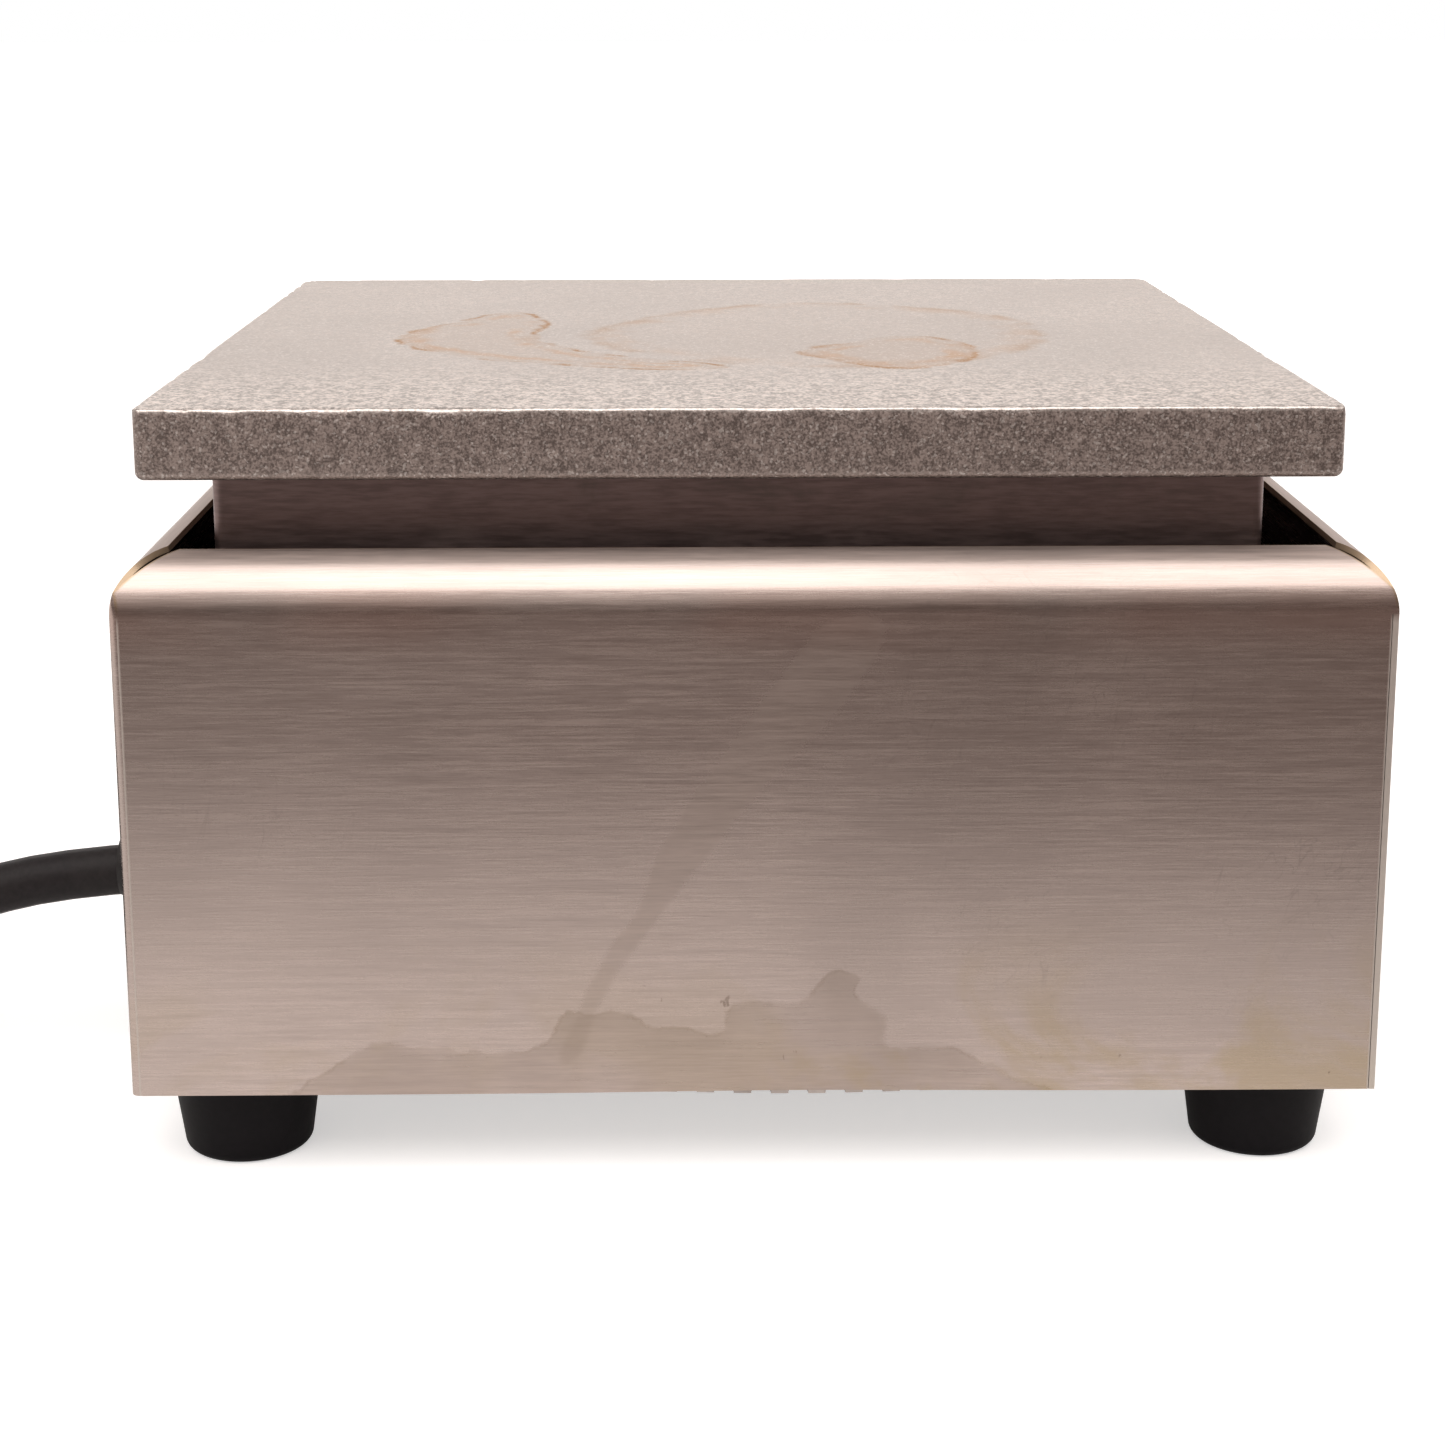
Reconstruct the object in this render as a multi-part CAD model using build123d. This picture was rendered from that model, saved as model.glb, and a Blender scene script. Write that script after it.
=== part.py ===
from build123d import *
import math
import os

# Square electric hot plate with a cast top, rolled sheet housing, thermostat knob and a power cord.
# Millimetres, +Z up.  The origin is on the surface that the feet stand on, under the middle of the
# object without its cord.  +X points out of the control panel, and the cord leaves at -X.

# ---- driving dimensions ----
SHEET = 0.8
HOUSING_WIDTH = 169.0
HOUSING_BOTTOM = 12.3
HOUSING_TOP = 86.8
HOUSING_X = -8.0
RIM_RADIUS = 8.0
RIM_SWEEP_DEG = 80.0
MITRE_CLOSED_DEG = 24.0
CORNER_BEND = 1.2
SEAM = 0.1

PLATE_WIDTH = 159.0
PLATE_THICKNESS = 9.6
PLATE_TOP = 105.6
PLATE_X = HOUSING_X - 1.8
PLATE_CORNER_NEAR = 1.2
PLATE_CORNER_FAR = 3.8
PLATE_EDGE = 0.5

RISER_WIDTH = 142.0
RISER_BOTTOM = 66.0
RISER_CORNER = 1.5
RISER_FLANGE = 6.0

ELEMENT_RADIUS = 48.0
ELEMENT_TUBE_R = 3.25
ELEMENT_BEND = 8.0
ELEMENT_GAP_DEG = 25.0
ELEMENT_END = 60.0
CLAMP_WIDTH = 130.0
CLAMP_THICKNESS = 1.6
PAD_WIDTH = 138.0
PAD_BOTTOM = 73.6
WINDOW_X = (38.0, 56.0)
WINDOW_WIDTH = 52.0

STUD_SPACING = 110.0
STUD_R = 2.5
PILLAR_R = 4.5
NUT_HEIGHT = 3.2
NUT_ACROSS = 8.0
CLEAR = 0.05

FOOT_SPACING = 142.0
FOOT_TOP_R = 10.5
FOOT_BOTTOM_R = 8.75

TRAY_FLANGE = 7.0
BOW_DEPTH = 0.55
BOW_HALF = 30.0
BOW_X = HOUSING_X + 6.0
PERFORATION_PITCH = 5.07
PERFORATION_R = 1.35
EDGE_NOTCHES = 11
VENT_R = 1.5
VENT_PITCH = 6.0
VENT_ROWS = 9

PANEL_FACE = HOUSING_X + HOUSING_WIDTH / 2
REAR_FACE = HOUSING_X - HOUSING_WIDTH / 2
SCREW_HEAD = 1.8
SCREW_SPACING = 120.0
SCREW_Z = 16.3

KNOB_Z = 43.0
KNOB_REACH = 17.8
KNOB_R = 19.0
KNOB_GRIP_R = 15.5
KNOB_GAP = 3.8
KNOB_SKIRT = 4.5
KNOB_FLUTES = 18
SHAFT_R = 3.0
SHAFT_FLAT = 1.5
BUSH_R = 4.4
DIAL_R = 30.0
DIAL_THICKNESS = 0.6
THERMOSTAT_SIZE = (26.0, 40.0, 34.0)
THERMOSTAT_SCREWS = 28.0
BRACKET_THICKNESS = 1.2
TAB_LENGTH = 8.0
TAB_WIDTH = 6.3
TAB_THICKNESS = 0.8
TAB_Y = 9.0
BULB_R = 2.3
BULB_LENGTH = 60.0
CAPILLARY_R = 0.75
CAPILLARY_X = (55.0, 41.0)
POINTER_HALF = 1.1
SET_SCREW_OUT = 6.6
SET_SCREW_R = 1.9
LAMP_Y = 44.0
LAMP_R = 5.9
LAMP_LENGTH = 25.0

BLOCK_SIZE = (18.0, 34.0, 14.0)
BLOCK_CENTRE = (-50.0, -20.0)
EARTH_PLACE = (-59.0, -76.0)
LEAD_R = 1.0
WIRE_ENTRY = 8.9

CORD_R = 3.8
CORD_Y = -33.6
CORD_Z = 28.0
GLAND_OUT = 11.2
GLAND_IN = 9.8
COIL_CENTRE = (-194.0, 0.0)
COIL_R = (30.4, 53.2)
COIL_HEIGHT = 4 * CORD_R
CORD_ROUTE = [
    (-81.5, -33.6, 28.0),
    (-109.0, -33.6, 28.0),
    (-135.0, -34.0, 21.0),
    (-159.0, -40.0, 14.0),
    (-180.0, -49.0, 11.4),
    (-200.0, -49.2, 11.4),
]
TAIL_ROUTE = [
    (-228.5, -36.5, 3.8),
    (-240.5, -20.0, 3.8),
    (-248.0, -1.5, 5.5),
    (-251.0, 17.0, 10.5),
    (-251.5, 33.0, 12.2),
]
PLUG_NECK = 12.0
PLUG_BODY = 30.0
PLUG_WIDTH = 27.0
PLUG_THICKNESS = 24.4
BLADE_LENGTH = 17.0

# ---- derived dimensions ----
HALF = HOUSING_WIDTH / 2
PLATE_BOTTOM = PLATE_TOP - PLATE_THICKNESS
RIM_REACH = RIM_RADIUS * (1 - math.cos(math.radians(RIM_SWEEP_DEG)))
ROLL_START = HOUSING_TOP - RIM_RADIUS
TRAY_HALF = HALF - SHEET - SEAM
TRAY_TOP = HOUSING_BOTTOM + SHEET
ELEMENT_Z = PLATE_BOTTOM - ELEMENT_TUBE_R - CLEAR
CLAMP_TOP = ELEMENT_Z - ELEMENT_TUBE_R - CLEAR
CLAMP_BOTTOM = CLAMP_TOP - CLAMP_THICKNESS
PAN_BOTTOM = PAD_BOTTOM - SHEET
PAN_WIDTH = RISER_WIDTH - 2 * SHEET - 0.6
KNOB_BASE = PANEL_FACE + KNOB_GAP
KNOB_FACE = PANEL_FACE + KNOB_REACH
PANEL_BACK = PANEL_FACE - SHEET
BODY_FRONT = PANEL_BACK - BRACKET_THICKNESS
BODY_BACK = BODY_FRONT - THERMOSTAT_SIZE[0]
DIAL_FACE = PANEL_FACE + DIAL_THICKNESS
BULB_END = PLATE_X + BULB_LENGTH / 2
BULB_Z = PLATE_BOTTOM - BULB_R - CLEAR
SCREW_SIDES = (-SCREW_SPACING / 2, SCREW_SPACING / 2)
THERMOSTAT_SIDES = (-THERMOSTAT_SCREWS / 2, THERMOSTAT_SCREWS / 2)
CORNERS = [(i, j) for i in (-1, 1) for j in (-1, 1)]


def save(name, shape):
    """Write one node; a list becomes a group of separate solids."""
    solid = Compound(children=list(shape)) if isinstance(shape, list) else shape
    export_step(solid, os.path.join("parts", name + ".step"))


def box(x, y, z):
    """Box from three (low, high) pairs."""
    size = [high - low for low, high in (x, y, z)]
    centre = [(high + low) / 2 for low, high in (x, y, z)]
    return Pos(*centre) * Box(*size)


def rod_x(radius, low, high, y, z):
    """Cylinder along X between two x values."""
    return Pos((low + high) / 2, y, z) * Rot(0, 90, 0) * Cylinder(radius, high - low)


def rod_z(radius, low, high, x, y):
    """Cylinder along Z between two heights."""
    return Pos(x, y, (low + high) / 2) * Cylinder(radius, high - low)


def hex_nut(x, y, low, high, across, bore):
    """Hexagon nut standing on z = low."""
    blank = Pos(x, y, low) * extrude(RegularPolygon(across / 2, 6, major_radius=False), high - low)
    return blank - rod_z(bore, low - 1, high + 1, x, y)


def tube_along(path, radius):
    """Round rod swept along a path of lines and tangent arcs."""
    start = Plane(origin=path @ 0, z_dir=path % 0)
    return sweep(start * Circle(radius), path)


def corner_radii(points, share=0.45):
    """Arc radius at each inner point: share of the shorter run over the tangent of half the turn."""
    radii = []
    for before, here, after in zip(points, points[1:], points[2:]):
        first = Vector(*here) - Vector(*before)
        second = Vector(*after) - Vector(*here)
        turn = math.radians(first.get_angle(second))
        radii.append(share * min(first.length, second.length) / math.tan(turn / 2))
    return radii


def routed(points, radius, share=0.45):
    """Cord or lead along straight runs joined by tangent arcs."""
    path = FilletPolyline(*points, radius=corner_radii(points, share))
    return tube_along(path, radius), path


# ---- plate and heater ----
def make_heating_plate():
    """Cast square plate with blind stud holes in its underside."""
    half = PLATE_WIDTH / 2
    plate = box((PLATE_X - half, PLATE_X + half), (-half, half), (PLATE_BOTTOM, PLATE_TOP))
    uprights = plate.edges().filter_by(Axis.Z).group_by(Axis.Y)
    plate = fillet(uprights[0], PLATE_CORNER_NEAR)
    plate = fillet(plate.edges().filter_by(Axis.Z).group_by(Axis.Y)[-1], PLATE_CORNER_FAR)
    plate = chamfer(plate.edges().group_by(Axis.Z)[-1], PLATE_EDGE)
    plate = fillet(plate.edges().group_by(Axis.Z)[0], PLATE_EDGE)
    for x, y in stud_places():
        plate -= rod_z(STUD_R + CLEAR, PLATE_BOTTOM - 1, PLATE_BOTTOM + 5.6, x, y)
    return plate


def stud_places():
    """The four tie stud axes."""
    return [(PLATE_X + i * STUD_SPACING / 2, j * STUD_SPACING / 2) for i, j in CORNERS]


def element_leg(side):
    """Plan position of one element leg after its bend."""
    angle = math.radians(ELEMENT_GAP_DEG)
    x = PLATE_X + ELEMENT_RADIUS * math.cos(angle) + ELEMENT_BEND * math.sin(angle)
    y = ELEMENT_RADIUS * math.sin(angle) - ELEMENT_BEND * math.cos(angle)
    return x, side * y


def make_heating_element():
    """Sheathed heating tube: an open ring whose two ends turn down."""
    angle = math.radians(ELEMENT_GAP_DEG)
    end_x = PLATE_X + ELEMENT_RADIUS * math.cos(angle)
    end_y = ELEMENT_RADIUS * math.sin(angle)
    half_bend = math.radians(45)
    sweep_deg = 360 - 2 * ELEMENT_GAP_DEG
    edges = [CenterArc((PLATE_X, 0, ELEMENT_Z), ELEMENT_RADIUS, ELEMENT_GAP_DEG, sweep_deg)]
    for side in (1, -1):
        start = Vector(end_x, side * end_y, ELEMENT_Z)
        along = Vector(math.sin(angle), -side * math.cos(angle), 0)
        middle = start + along * (ELEMENT_BEND * math.sin(half_bend))
        middle -= Vector(0, 0, ELEMENT_BEND * (1 - math.cos(half_bend)))
        foot = start + along * ELEMENT_BEND - Vector(0, 0, ELEMENT_BEND)
        edges.append(ThreePointArc(start, middle, foot))
        edges.append(Line(foot, (foot.X, foot.Y, ELEMENT_END)))
    path = Wire(edges)
    x, y = element_leg(1)
    start = Plane(origin=(x, y, ELEMENT_END), z_dir=(0, 0, 1))
    return sweep(start * Circle(ELEMENT_TUBE_R), path)


def make_element_terminals():
    """Cold pins standing out of the element's two ends."""
    return [rod_z(1.5, ELEMENT_END - 6, ELEMENT_END, *element_leg(side)) for side in (1, -1)]


def window(low, high):
    """Opening through the layers for the element legs and the capillary."""
    x = (PLATE_X + WINDOW_X[0], PLATE_X + WINDOW_X[1])
    return box(x, (-WINDOW_WIDTH / 2, WINDOW_WIDTH / 2), (low, high))


def make_layer(width, low, high):
    """Square layer under the plate with its window and stud holes."""
    half = width / 2
    layer = box((PLATE_X - half, PLATE_X + half), (-half, half), (low, high))
    layer -= window(low - 1, high + 1)
    for x, y in stud_places():
        layer -= rod_z(STUD_R + 0.2, low - 1, high + 1, x, y)
    return layer


def make_riser_shield():
    """Open sheet box below the plate with a narrow inward top flange."""
    height = PLATE_BOTTOM - RISER_BOTTOM
    outer = extrude(RectangleRounded(RISER_WIDTH, RISER_WIDTH, RISER_CORNER), height)
    inner_width = RISER_WIDTH - 2 * SHEET
    inner = extrude(RectangleRounded(inner_width, inner_width, RISER_CORNER - SHEET), height - SHEET)
    mouth_width = RISER_WIDTH - 2 * RISER_FLANGE
    mouth = extrude(Rectangle(mouth_width, mouth_width), height + 1)
    return Pos(PLATE_X, 0, RISER_BOTTOM) * (outer - inner - mouth)


def make_support_pillars():
    """Four spacer tubes between the pan nuts and the base tray."""
    low = TRAY_TOP + CLEAR
    high = PAN_BOTTOM - NUT_HEIGHT - 2 * CLEAR
    tubes = []
    for x, y in stud_places():
        bore = rod_z(STUD_R + 0.1, low - 1, high + 1, x, y)
        tubes.append(rod_z(PILLAR_R, low, high, x, y) - bore)
    return tubes


# ---- housing ----
def rolled_block(inset, low):
    """Filled housing block whose four top edges are rolled and meet in mitred corners."""
    half = HALF - inset
    top = HOUSING_TOP - inset
    block = box((HOUSING_X - half, HOUSING_X + half), (-half, half), (low, top))
    along_x = fillet(block.edges().filter_by(Axis.X).group_by(Axis.Z)[-1], RIM_RADIUS - inset)
    along_y = fillet(block.edges().filter_by(Axis.Y).group_by(Axis.Z)[-1], RIM_RADIUS - inset)
    return along_x & along_y


def corner_relief(i, j):
    """Prism that opens one rim corner: a straight cut of the flat sheet, rolled up with the rim."""
    closed = math.radians(MITRE_CLOSED_DEG)
    start = RIM_RADIUS * (closed - 1 + math.cos(closed))
    inboard = []
    for degrees in (MITRE_CLOSED_DEG, 38, 52, 66, RIM_SWEEP_DEG + 3):
        angle = math.radians(degrees)
        inboard.append((RIM_RADIUS * angle - start, RIM_RADIUS * (1 - math.cos(angle))))
    near = [(HOUSING_X + i * (HALF - c), j * (HALF - d)) for c, d in inboard]
    far = [(HOUSING_X + i * (HALF - d), j * (HALF - c)) for c, d in inboard]
    outline = Wire([Spline(*near), Line(near[-1], far[-1]), Spline(*far)])
    low = ROLL_START + RIM_RADIUS * math.sin(closed) - SHEET
    return Pos(0, 0, low) * extrude(make_face(outline), RIM_RADIUS, dir=(0, 0, 1))


def make_shell():
    """Whole housing skin before it is parted into wrapper and control panel."""
    outer = rolled_block(0, HOUSING_BOTTOM)
    outline = box((REAR_FACE, PANEL_FACE), (-HALF, HALF), (HOUSING_BOTTOM, HOUSING_TOP))
    outer &= fillet(outline.edges().filter_by(Axis.Z).group_by(Axis.X)[0], CORNER_BEND)
    reach = HALF - RIM_REACH
    mouth = box((HOUSING_X - reach, HOUSING_X + reach), (-reach, reach), (ROLL_START, HOUSING_TOP + 1))
    shell = outer - rolled_block(SHEET, HOUSING_BOTTOM - 1) - mouth
    for i, j in CORNERS:
        shell -= corner_relief(i, j)
    return shell


def panel_zone(gap):
    """Region of the control panel: the +X wall, and above it the rim between two mitre planes."""
    face = box((PANEL_BACK - gap, PANEL_FACE + 1), (-HALF - 1, HALF + 1), (0, ROLL_START))
    reach = RIM_RADIUS + 4
    edge = HALF + 1
    outline = [
        (HOUSING_X + edge - gap, -edge),
        (HOUSING_X + edge + 1, -edge),
        (HOUSING_X + edge + 1, edge),
        (HOUSING_X + edge - gap, edge),
        (HOUSING_X + edge - reach - gap, edge - reach),
        (HOUSING_X + edge - reach - gap, reach - edge),
    ]
    rim = extrude(Polygon(*outline, align=None), RIM_RADIUS + 1)
    return face + Pos(0, 0, ROLL_START) * rim


def make_housing_wrapper(shell):
    """U-shaped wrapper: two sides and the rear in one bent sheet, with rolled rims."""
    wrapper = shell - panel_zone(SEAM)
    wrapper -= rod_x(6.4, REAR_FACE - 2, REAR_FACE + 2, CORD_Y, CORD_Z)
    for y in SCREW_SIDES:
        wrapper -= rod_x(1.8, REAR_FACE - 2, REAR_FACE + 2, y, SCREW_Z)
    return wrapper


def make_control_panel(shell):
    """Front sheet with its rolled rim and the holes for the thermostat, the lamp and the screws."""
    panel = shell & panel_zone(0)
    panel -= rod_x(BUSH_R + 0.3, PANEL_BACK - 1, PANEL_FACE + 1, 0, KNOB_Z)
    panel -= rod_x(LAMP_R + 0.1, PANEL_BACK - 1, PANEL_FACE + 1, LAMP_Y, KNOB_Z)
    for y in THERMOSTAT_SIDES:
        panel -= rod_x(2.2, PANEL_BACK - 1, PANEL_FACE + 1, y, KNOB_Z)
    for y in SCREW_SIDES:
        panel -= rod_x(1.8, PANEL_BACK - 1, PANEL_FACE + 1, y, SCREW_Z)
    return panel


def bow_face(low, high):
    """Region in X and Z between the bowed tray underside moved up by low, and high above it."""
    left = HOUSING_X - TRAY_HALF
    right = HOUSING_X + TRAY_HALF
    start = (BOW_X - BOW_HALF, low)
    end = (BOW_X + BOW_HALF, low)
    bow = Spline(start, (BOW_X, low - BOW_DEPTH), end, tangents=[(1, 0), (1, 0)])
    lower = [Line((left, low), start), bow, Line(end, (right, low))]
    if high is None:
        upper = [edge.moved(Location((0, SHEET))) for edge in lower]
        ends = [Line((x, low), (x, low + SHEET)) for x in (left, right)]
        return make_face(Wire(lower + upper + ends))
    rest = [
        Line((right, low), (right, high)),
        Line((right, high), (left, high)),
        Line((left, high), (left, low)),
    ]
    return make_face(Wire(lower + rest))


def make_base_tray():
    """Shallow tray, slightly bowed down in the middle, with vents and a perforated bend."""
    upright = Plane.XZ.offset(-TRAY_HALF)
    sheet = extrude(upright * bow_face(HOUSING_BOTTOM, None), 2 * TRAY_HALF)
    tray = sheet
    for plane in (Plane.XZ.offset(-TRAY_HALF), Plane.XZ.offset(TRAY_HALF - SHEET)):
        tray += extrude(plane * bow_face(HOUSING_BOTTOM, HOUSING_BOTTOM + TRAY_FLANGE), SHEET)
    for i in (-1, 1):
        edge = HOUSING_X + i * TRAY_HALF
        x = sorted((edge, edge - i * SHEET))
        tray += box(x, (-TRAY_HALF, TRAY_HALF), (HOUSING_BOTTOM, HOUSING_BOTTOM + TRAY_FLANGE))
    notch_z = HOUSING_BOTTOM - BOW_DEPTH / 2
    for j in (-1, 1):
        notch = Rot(-45 * j, 0, 0) * Cylinder(PERFORATION_R, 5)
        first = BOW_X - (EDGE_NOTCHES // 2) * PERFORATION_PITCH
        places = [first + k * PERFORATION_PITCH for k in range(EDGE_NOTCHES)]
        tray -= [Pos(x, j * TRAY_HALF, notch_z) * notch for x in places]
    middle = VENT_ROWS // 2
    for b in range(VENT_ROWS):
        first = BOW_X + ((b % 2) / 2 - middle) * VENT_PITCH
        y = (b - middle) * VENT_PITCH
        places = [first + a * VENT_PITCH for a in range(VENT_ROWS)]
        tray -= [rod_z(VENT_R, HOUSING_BOTTOM - 2, TRAY_TOP + 1, x, y) for x in places]
    for x, y in stud_places():
        tray -= rod_z(STUD_R + 0.2, HOUSING_BOTTOM - 1, TRAY_TOP + 1, x, y)
    for x, y in foot_places():
        tray -= rod_z(1.9, HOUSING_BOTTOM - 1, TRAY_TOP + 1, x, y)
    for y in SCREW_SIDES:
        tray -= rod_x(1.6, REAR_FACE - 1, PANEL_FACE + 1, y, SCREW_Z)
    return tray - rod_z(1.7, HOUSING_BOTTOM - 1, TRAY_TOP + 1, *EARTH_PLACE)


def foot_places():
    """The four foot axes."""
    return [(HOUSING_X + i * FOOT_SPACING / 2, j * FOOT_SPACING / 2) for i, j in CORNERS]


def make_foot(x, y):
    """Tapered rubber foot with a counterbore for its screw."""
    foot = Pos(x, y, HOUSING_BOTTOM / 2) * Cone(FOOT_BOTTOM_R, FOOT_TOP_R, HOUSING_BOTTOM)
    foot = fillet(foot.edges().group_by(Axis.Z)[0], 1.4)
    foot -= rod_z(4.2, -1, 5, x, y)
    return foot - rod_z(1.9, 0, HOUSING_BOTTOM + 1, x, y)


def make_foot_screw(x, y):
    """Pan head screw from the counterbore up through the tray."""
    return rod_z(3.6, 2.8, 5, x, y) + rod_z(1.6, 5, TRAY_TOP + 4.5, x, y)


def make_wall_screw(face, outward, y):
    """Screw through a housing wall into the tray flange."""
    head = rod_x(2.8, *sorted((face, face + outward * SCREW_HEAD)), y, SCREW_Z)
    head = fillet(head.faces().sort_by(Axis.X)[0 if outward < 0 else -1].edges(), 1.0)
    shank = rod_x(1.5, *sorted((face, face - outward * 6)), y, SCREW_Z)
    return head + shank


# ---- controls ----
def make_dial_plate():
    """Round scale plate behind the knob."""
    plate = rod_x(DIAL_R, PANEL_FACE, DIAL_FACE, 0, KNOB_Z)
    plate -= rod_x(BUSH_R + 0.3, PANEL_FACE - 1, DIAL_FACE + 1, 0, KNOB_Z)
    for y in THERMOSTAT_SIDES:
        plate -= rod_x(2.2, PANEL_FACE - 1, DIAL_FACE + 1, y, KNOB_Z)
    return plate


def make_control_knob():
    """Skirted fluted knob with a blind bore, a pointer slot and a set screw hole."""
    skirt_top = KNOB_BASE + KNOB_SKIRT
    knob = rod_x(KNOB_R, KNOB_BASE, skirt_top, 0, KNOB_Z)
    knob = fillet(knob.edges().group_by(Axis.X)[-1], 1.6)
    grip = rod_x(KNOB_GRIP_R, skirt_top - 1, KNOB_FACE, 0, KNOB_Z)
    grip = fillet(grip.edges().group_by(Axis.X)[-1], 1.4)
    knob += grip
    for k in range(KNOB_FLUTES):
        angle = 2 * math.pi * (k + 0.5) / KNOB_FLUTES
        y = (KNOB_GRIP_R + 0.9) * math.sin(angle)
        z = KNOB_Z + (KNOB_GRIP_R + 0.9) * math.cos(angle)
        knob -= rod_x(1.7, skirt_top + 0.6, KNOB_FACE + 1, y, z)
    hollow = rod_x(12.5, KNOB_BASE - 1, KNOB_BASE + 2.5, 0, KNOB_Z)
    hollow -= rod_x(6.5, KNOB_BASE, KNOB_BASE + 2.5, 0, KNOB_Z)
    knob -= hollow
    knob -= rod_x(SHAFT_R + CLEAR, KNOB_BASE - 1, KNOB_FACE - 5.5, 0, KNOB_Z)
    knob -= pointer_block(0.0)
    low = KNOB_Z - KNOB_GRIP_R - 1
    return knob - rod_z(SET_SCREW_R + 0.1, low, KNOB_Z - 1, KNOB_BASE + SET_SCREW_OUT, 0)


def pointer_block(shrink):
    """Pointer bar let into the knob's face, from near its middle to its rim."""
    y = (-POINTER_HALF + shrink, POINTER_HALF - shrink)
    z = (KNOB_Z + 4 + shrink, KNOB_Z + KNOB_GRIP_R - 2.2 - shrink)
    return box((KNOB_FACE - 1.2, KNOB_FACE - shrink / 2), y, z)


def make_thermostat_shaft():
    """Round shaft with a flat at its outer end."""
    outer_end = KNOB_FACE - 5.8
    shaft = rod_x(SHAFT_R, BODY_BACK + 14.8, outer_end, 0, KNOB_Z)
    flat = box(
        (KNOB_BASE + 1, outer_end + 1),
        (-SHAFT_R - 1, SHAFT_R + 1),
        (KNOB_Z - SHAFT_R - 1, KNOB_Z - SHAFT_R + SHAFT_FLAT),
    )
    return shaft - flat


def make_set_screw():
    """Grub screw that bears on the shaft's flat."""
    low = KNOB_Z - KNOB_GRIP_R + 2.5
    return rod_z(SET_SCREW_R, low, KNOB_Z - SHAFT_R + SHAFT_FLAT, KNOB_BASE + SET_SCREW_OUT, 0)


def make_thermostat_body():
    """Moulded thermostat housing with its shaft bush."""
    _, width, height = THERMOSTAT_SIZE
    y = (-width / 2, width / 2)
    body = box((BODY_BACK, BODY_FRONT), y, (KNOB_Z - height / 2, KNOB_Z + height / 2))
    body = fillet(body.edges().filter_by(Axis.X), 2.5)
    body += rod_x(BUSH_R, BODY_FRONT, DIAL_FACE + 1.4, 0, KNOB_Z)
    body -= rod_x(SHAFT_R + CLEAR, BODY_BACK + 14.5, DIAL_FACE + 2, 0, KNOB_Z)
    for y in THERMOSTAT_SIDES:
        body -= rod_x(2.1, BODY_FRONT - 5, BODY_FRONT + 0.1, y, KNOB_Z)
    return body


def make_thermostat_bracket():
    """Steel plate between the thermostat and the control panel."""
    bracket = box((BODY_FRONT, PANEL_BACK), (-22, 22), (KNOB_Z - 12, KNOB_Z + 12))
    bracket -= rod_x(BUSH_R + CLEAR, BODY_FRONT - 1, PANEL_BACK + 1, 0, KNOB_Z)
    for y in THERMOSTAT_SIDES:
        bracket -= rod_x(2.1, BODY_FRONT - 1, PANEL_BACK + 1, y, KNOB_Z)
    return bracket


def make_thermostat_screw(y):
    """Pan head screw through dial, panel and bracket into the thermostat."""
    head = rod_x(3.6, DIAL_FACE, DIAL_FACE + 2.2, y, KNOB_Z)
    head = fillet(head.faces().sort_by(Axis.X)[-1].edges(), 1.0)
    return head + rod_x(2.0, BODY_FRONT - 4, DIAL_FACE, y, KNOB_Z)


def make_thermostat_tabs():
    """Two spade terminals behind the thermostat."""
    x = (BODY_BACK - TAB_LENGTH, BODY_BACK)
    z = (KNOB_Z - TAB_THICKNESS / 2, KNOB_Z + TAB_THICKNESS / 2)
    middles = (-TAB_Y, TAB_Y)
    return [box(x, (y - TAB_WIDTH / 2, y + TAB_WIDTH / 2), z) for y in middles]


def make_sensor_bulb():
    """Thermostat bulb against the plate's underside."""
    return rod_x(BULB_R, BULB_END - BULB_LENGTH, BULB_END, 0, BULB_Z)


def make_bulb_clip():
    """Folded strap that holds the bulb up to the plate."""
    x = (PLATE_X - 6, PLATE_X + 6)
    low = BULB_Z - BULB_R - CLEAR - SHEET
    strap = box(x, (-5, 5), (low, PLATE_BOTTOM))
    return strap - box((x[0] - 1, x[1] + 1), (-5 + SHEET, 5 - SHEET), (low + SHEET, PLATE_BOTTOM + 1))


def make_capillary():
    """Thin tube from the thermostat up through the window to the bulb."""
    top = KNOB_Z + THERMOSTAT_SIZE[2] / 2
    near, far = CAPILLARY_X
    points = [
        (near, 0, top),
        (near, 0, top + 7),
        (far, 0, top + 10),
        (far, 0, BULB_Z),
        (BULB_END, 0, BULB_Z),
    ]
    return FilletPolyline(*points, radius=[3.5, 3.5, 6.0])


# ---- pilot lamp ----
def make_pilot_bezel():
    """Turned ring around the lamp's lens."""
    ring = rod_x(7.2, PANEL_FACE, PANEL_FACE + 2.4, LAMP_Y, KNOB_Z)
    ring = fillet(ring.faces().sort_by(Axis.X)[-1].edges(), 1.0)
    return ring - rod_x(4.9, PANEL_FACE - 1, PANEL_FACE + 3, LAMP_Y, KNOB_Z)


def make_pilot_lens():
    """Domed lens standing out of the bezel."""
    lens = rod_x(4.8, PANEL_FACE, PANEL_FACE + 5.4, LAMP_Y, KNOB_Z)
    return fillet(lens.faces().sort_by(Axis.X)[-1].edges(), 3.2)


def make_pilot_body():
    """Lamp barrel behind the panel."""
    return rod_x(LAMP_R, PANEL_FACE - LAMP_LENGTH, PANEL_FACE, LAMP_Y, KNOB_Z)


def make_pilot_clip():
    """Push nut that holds the barrel to the panel."""
    disc = rod_x(8.5, PANEL_BACK - 0.8, PANEL_BACK, LAMP_Y, KNOB_Z)
    return disc - rod_x(LAMP_R + CLEAR, PANEL_BACK - 2, PANEL_FACE, LAMP_Y, KNOB_Z)


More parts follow.
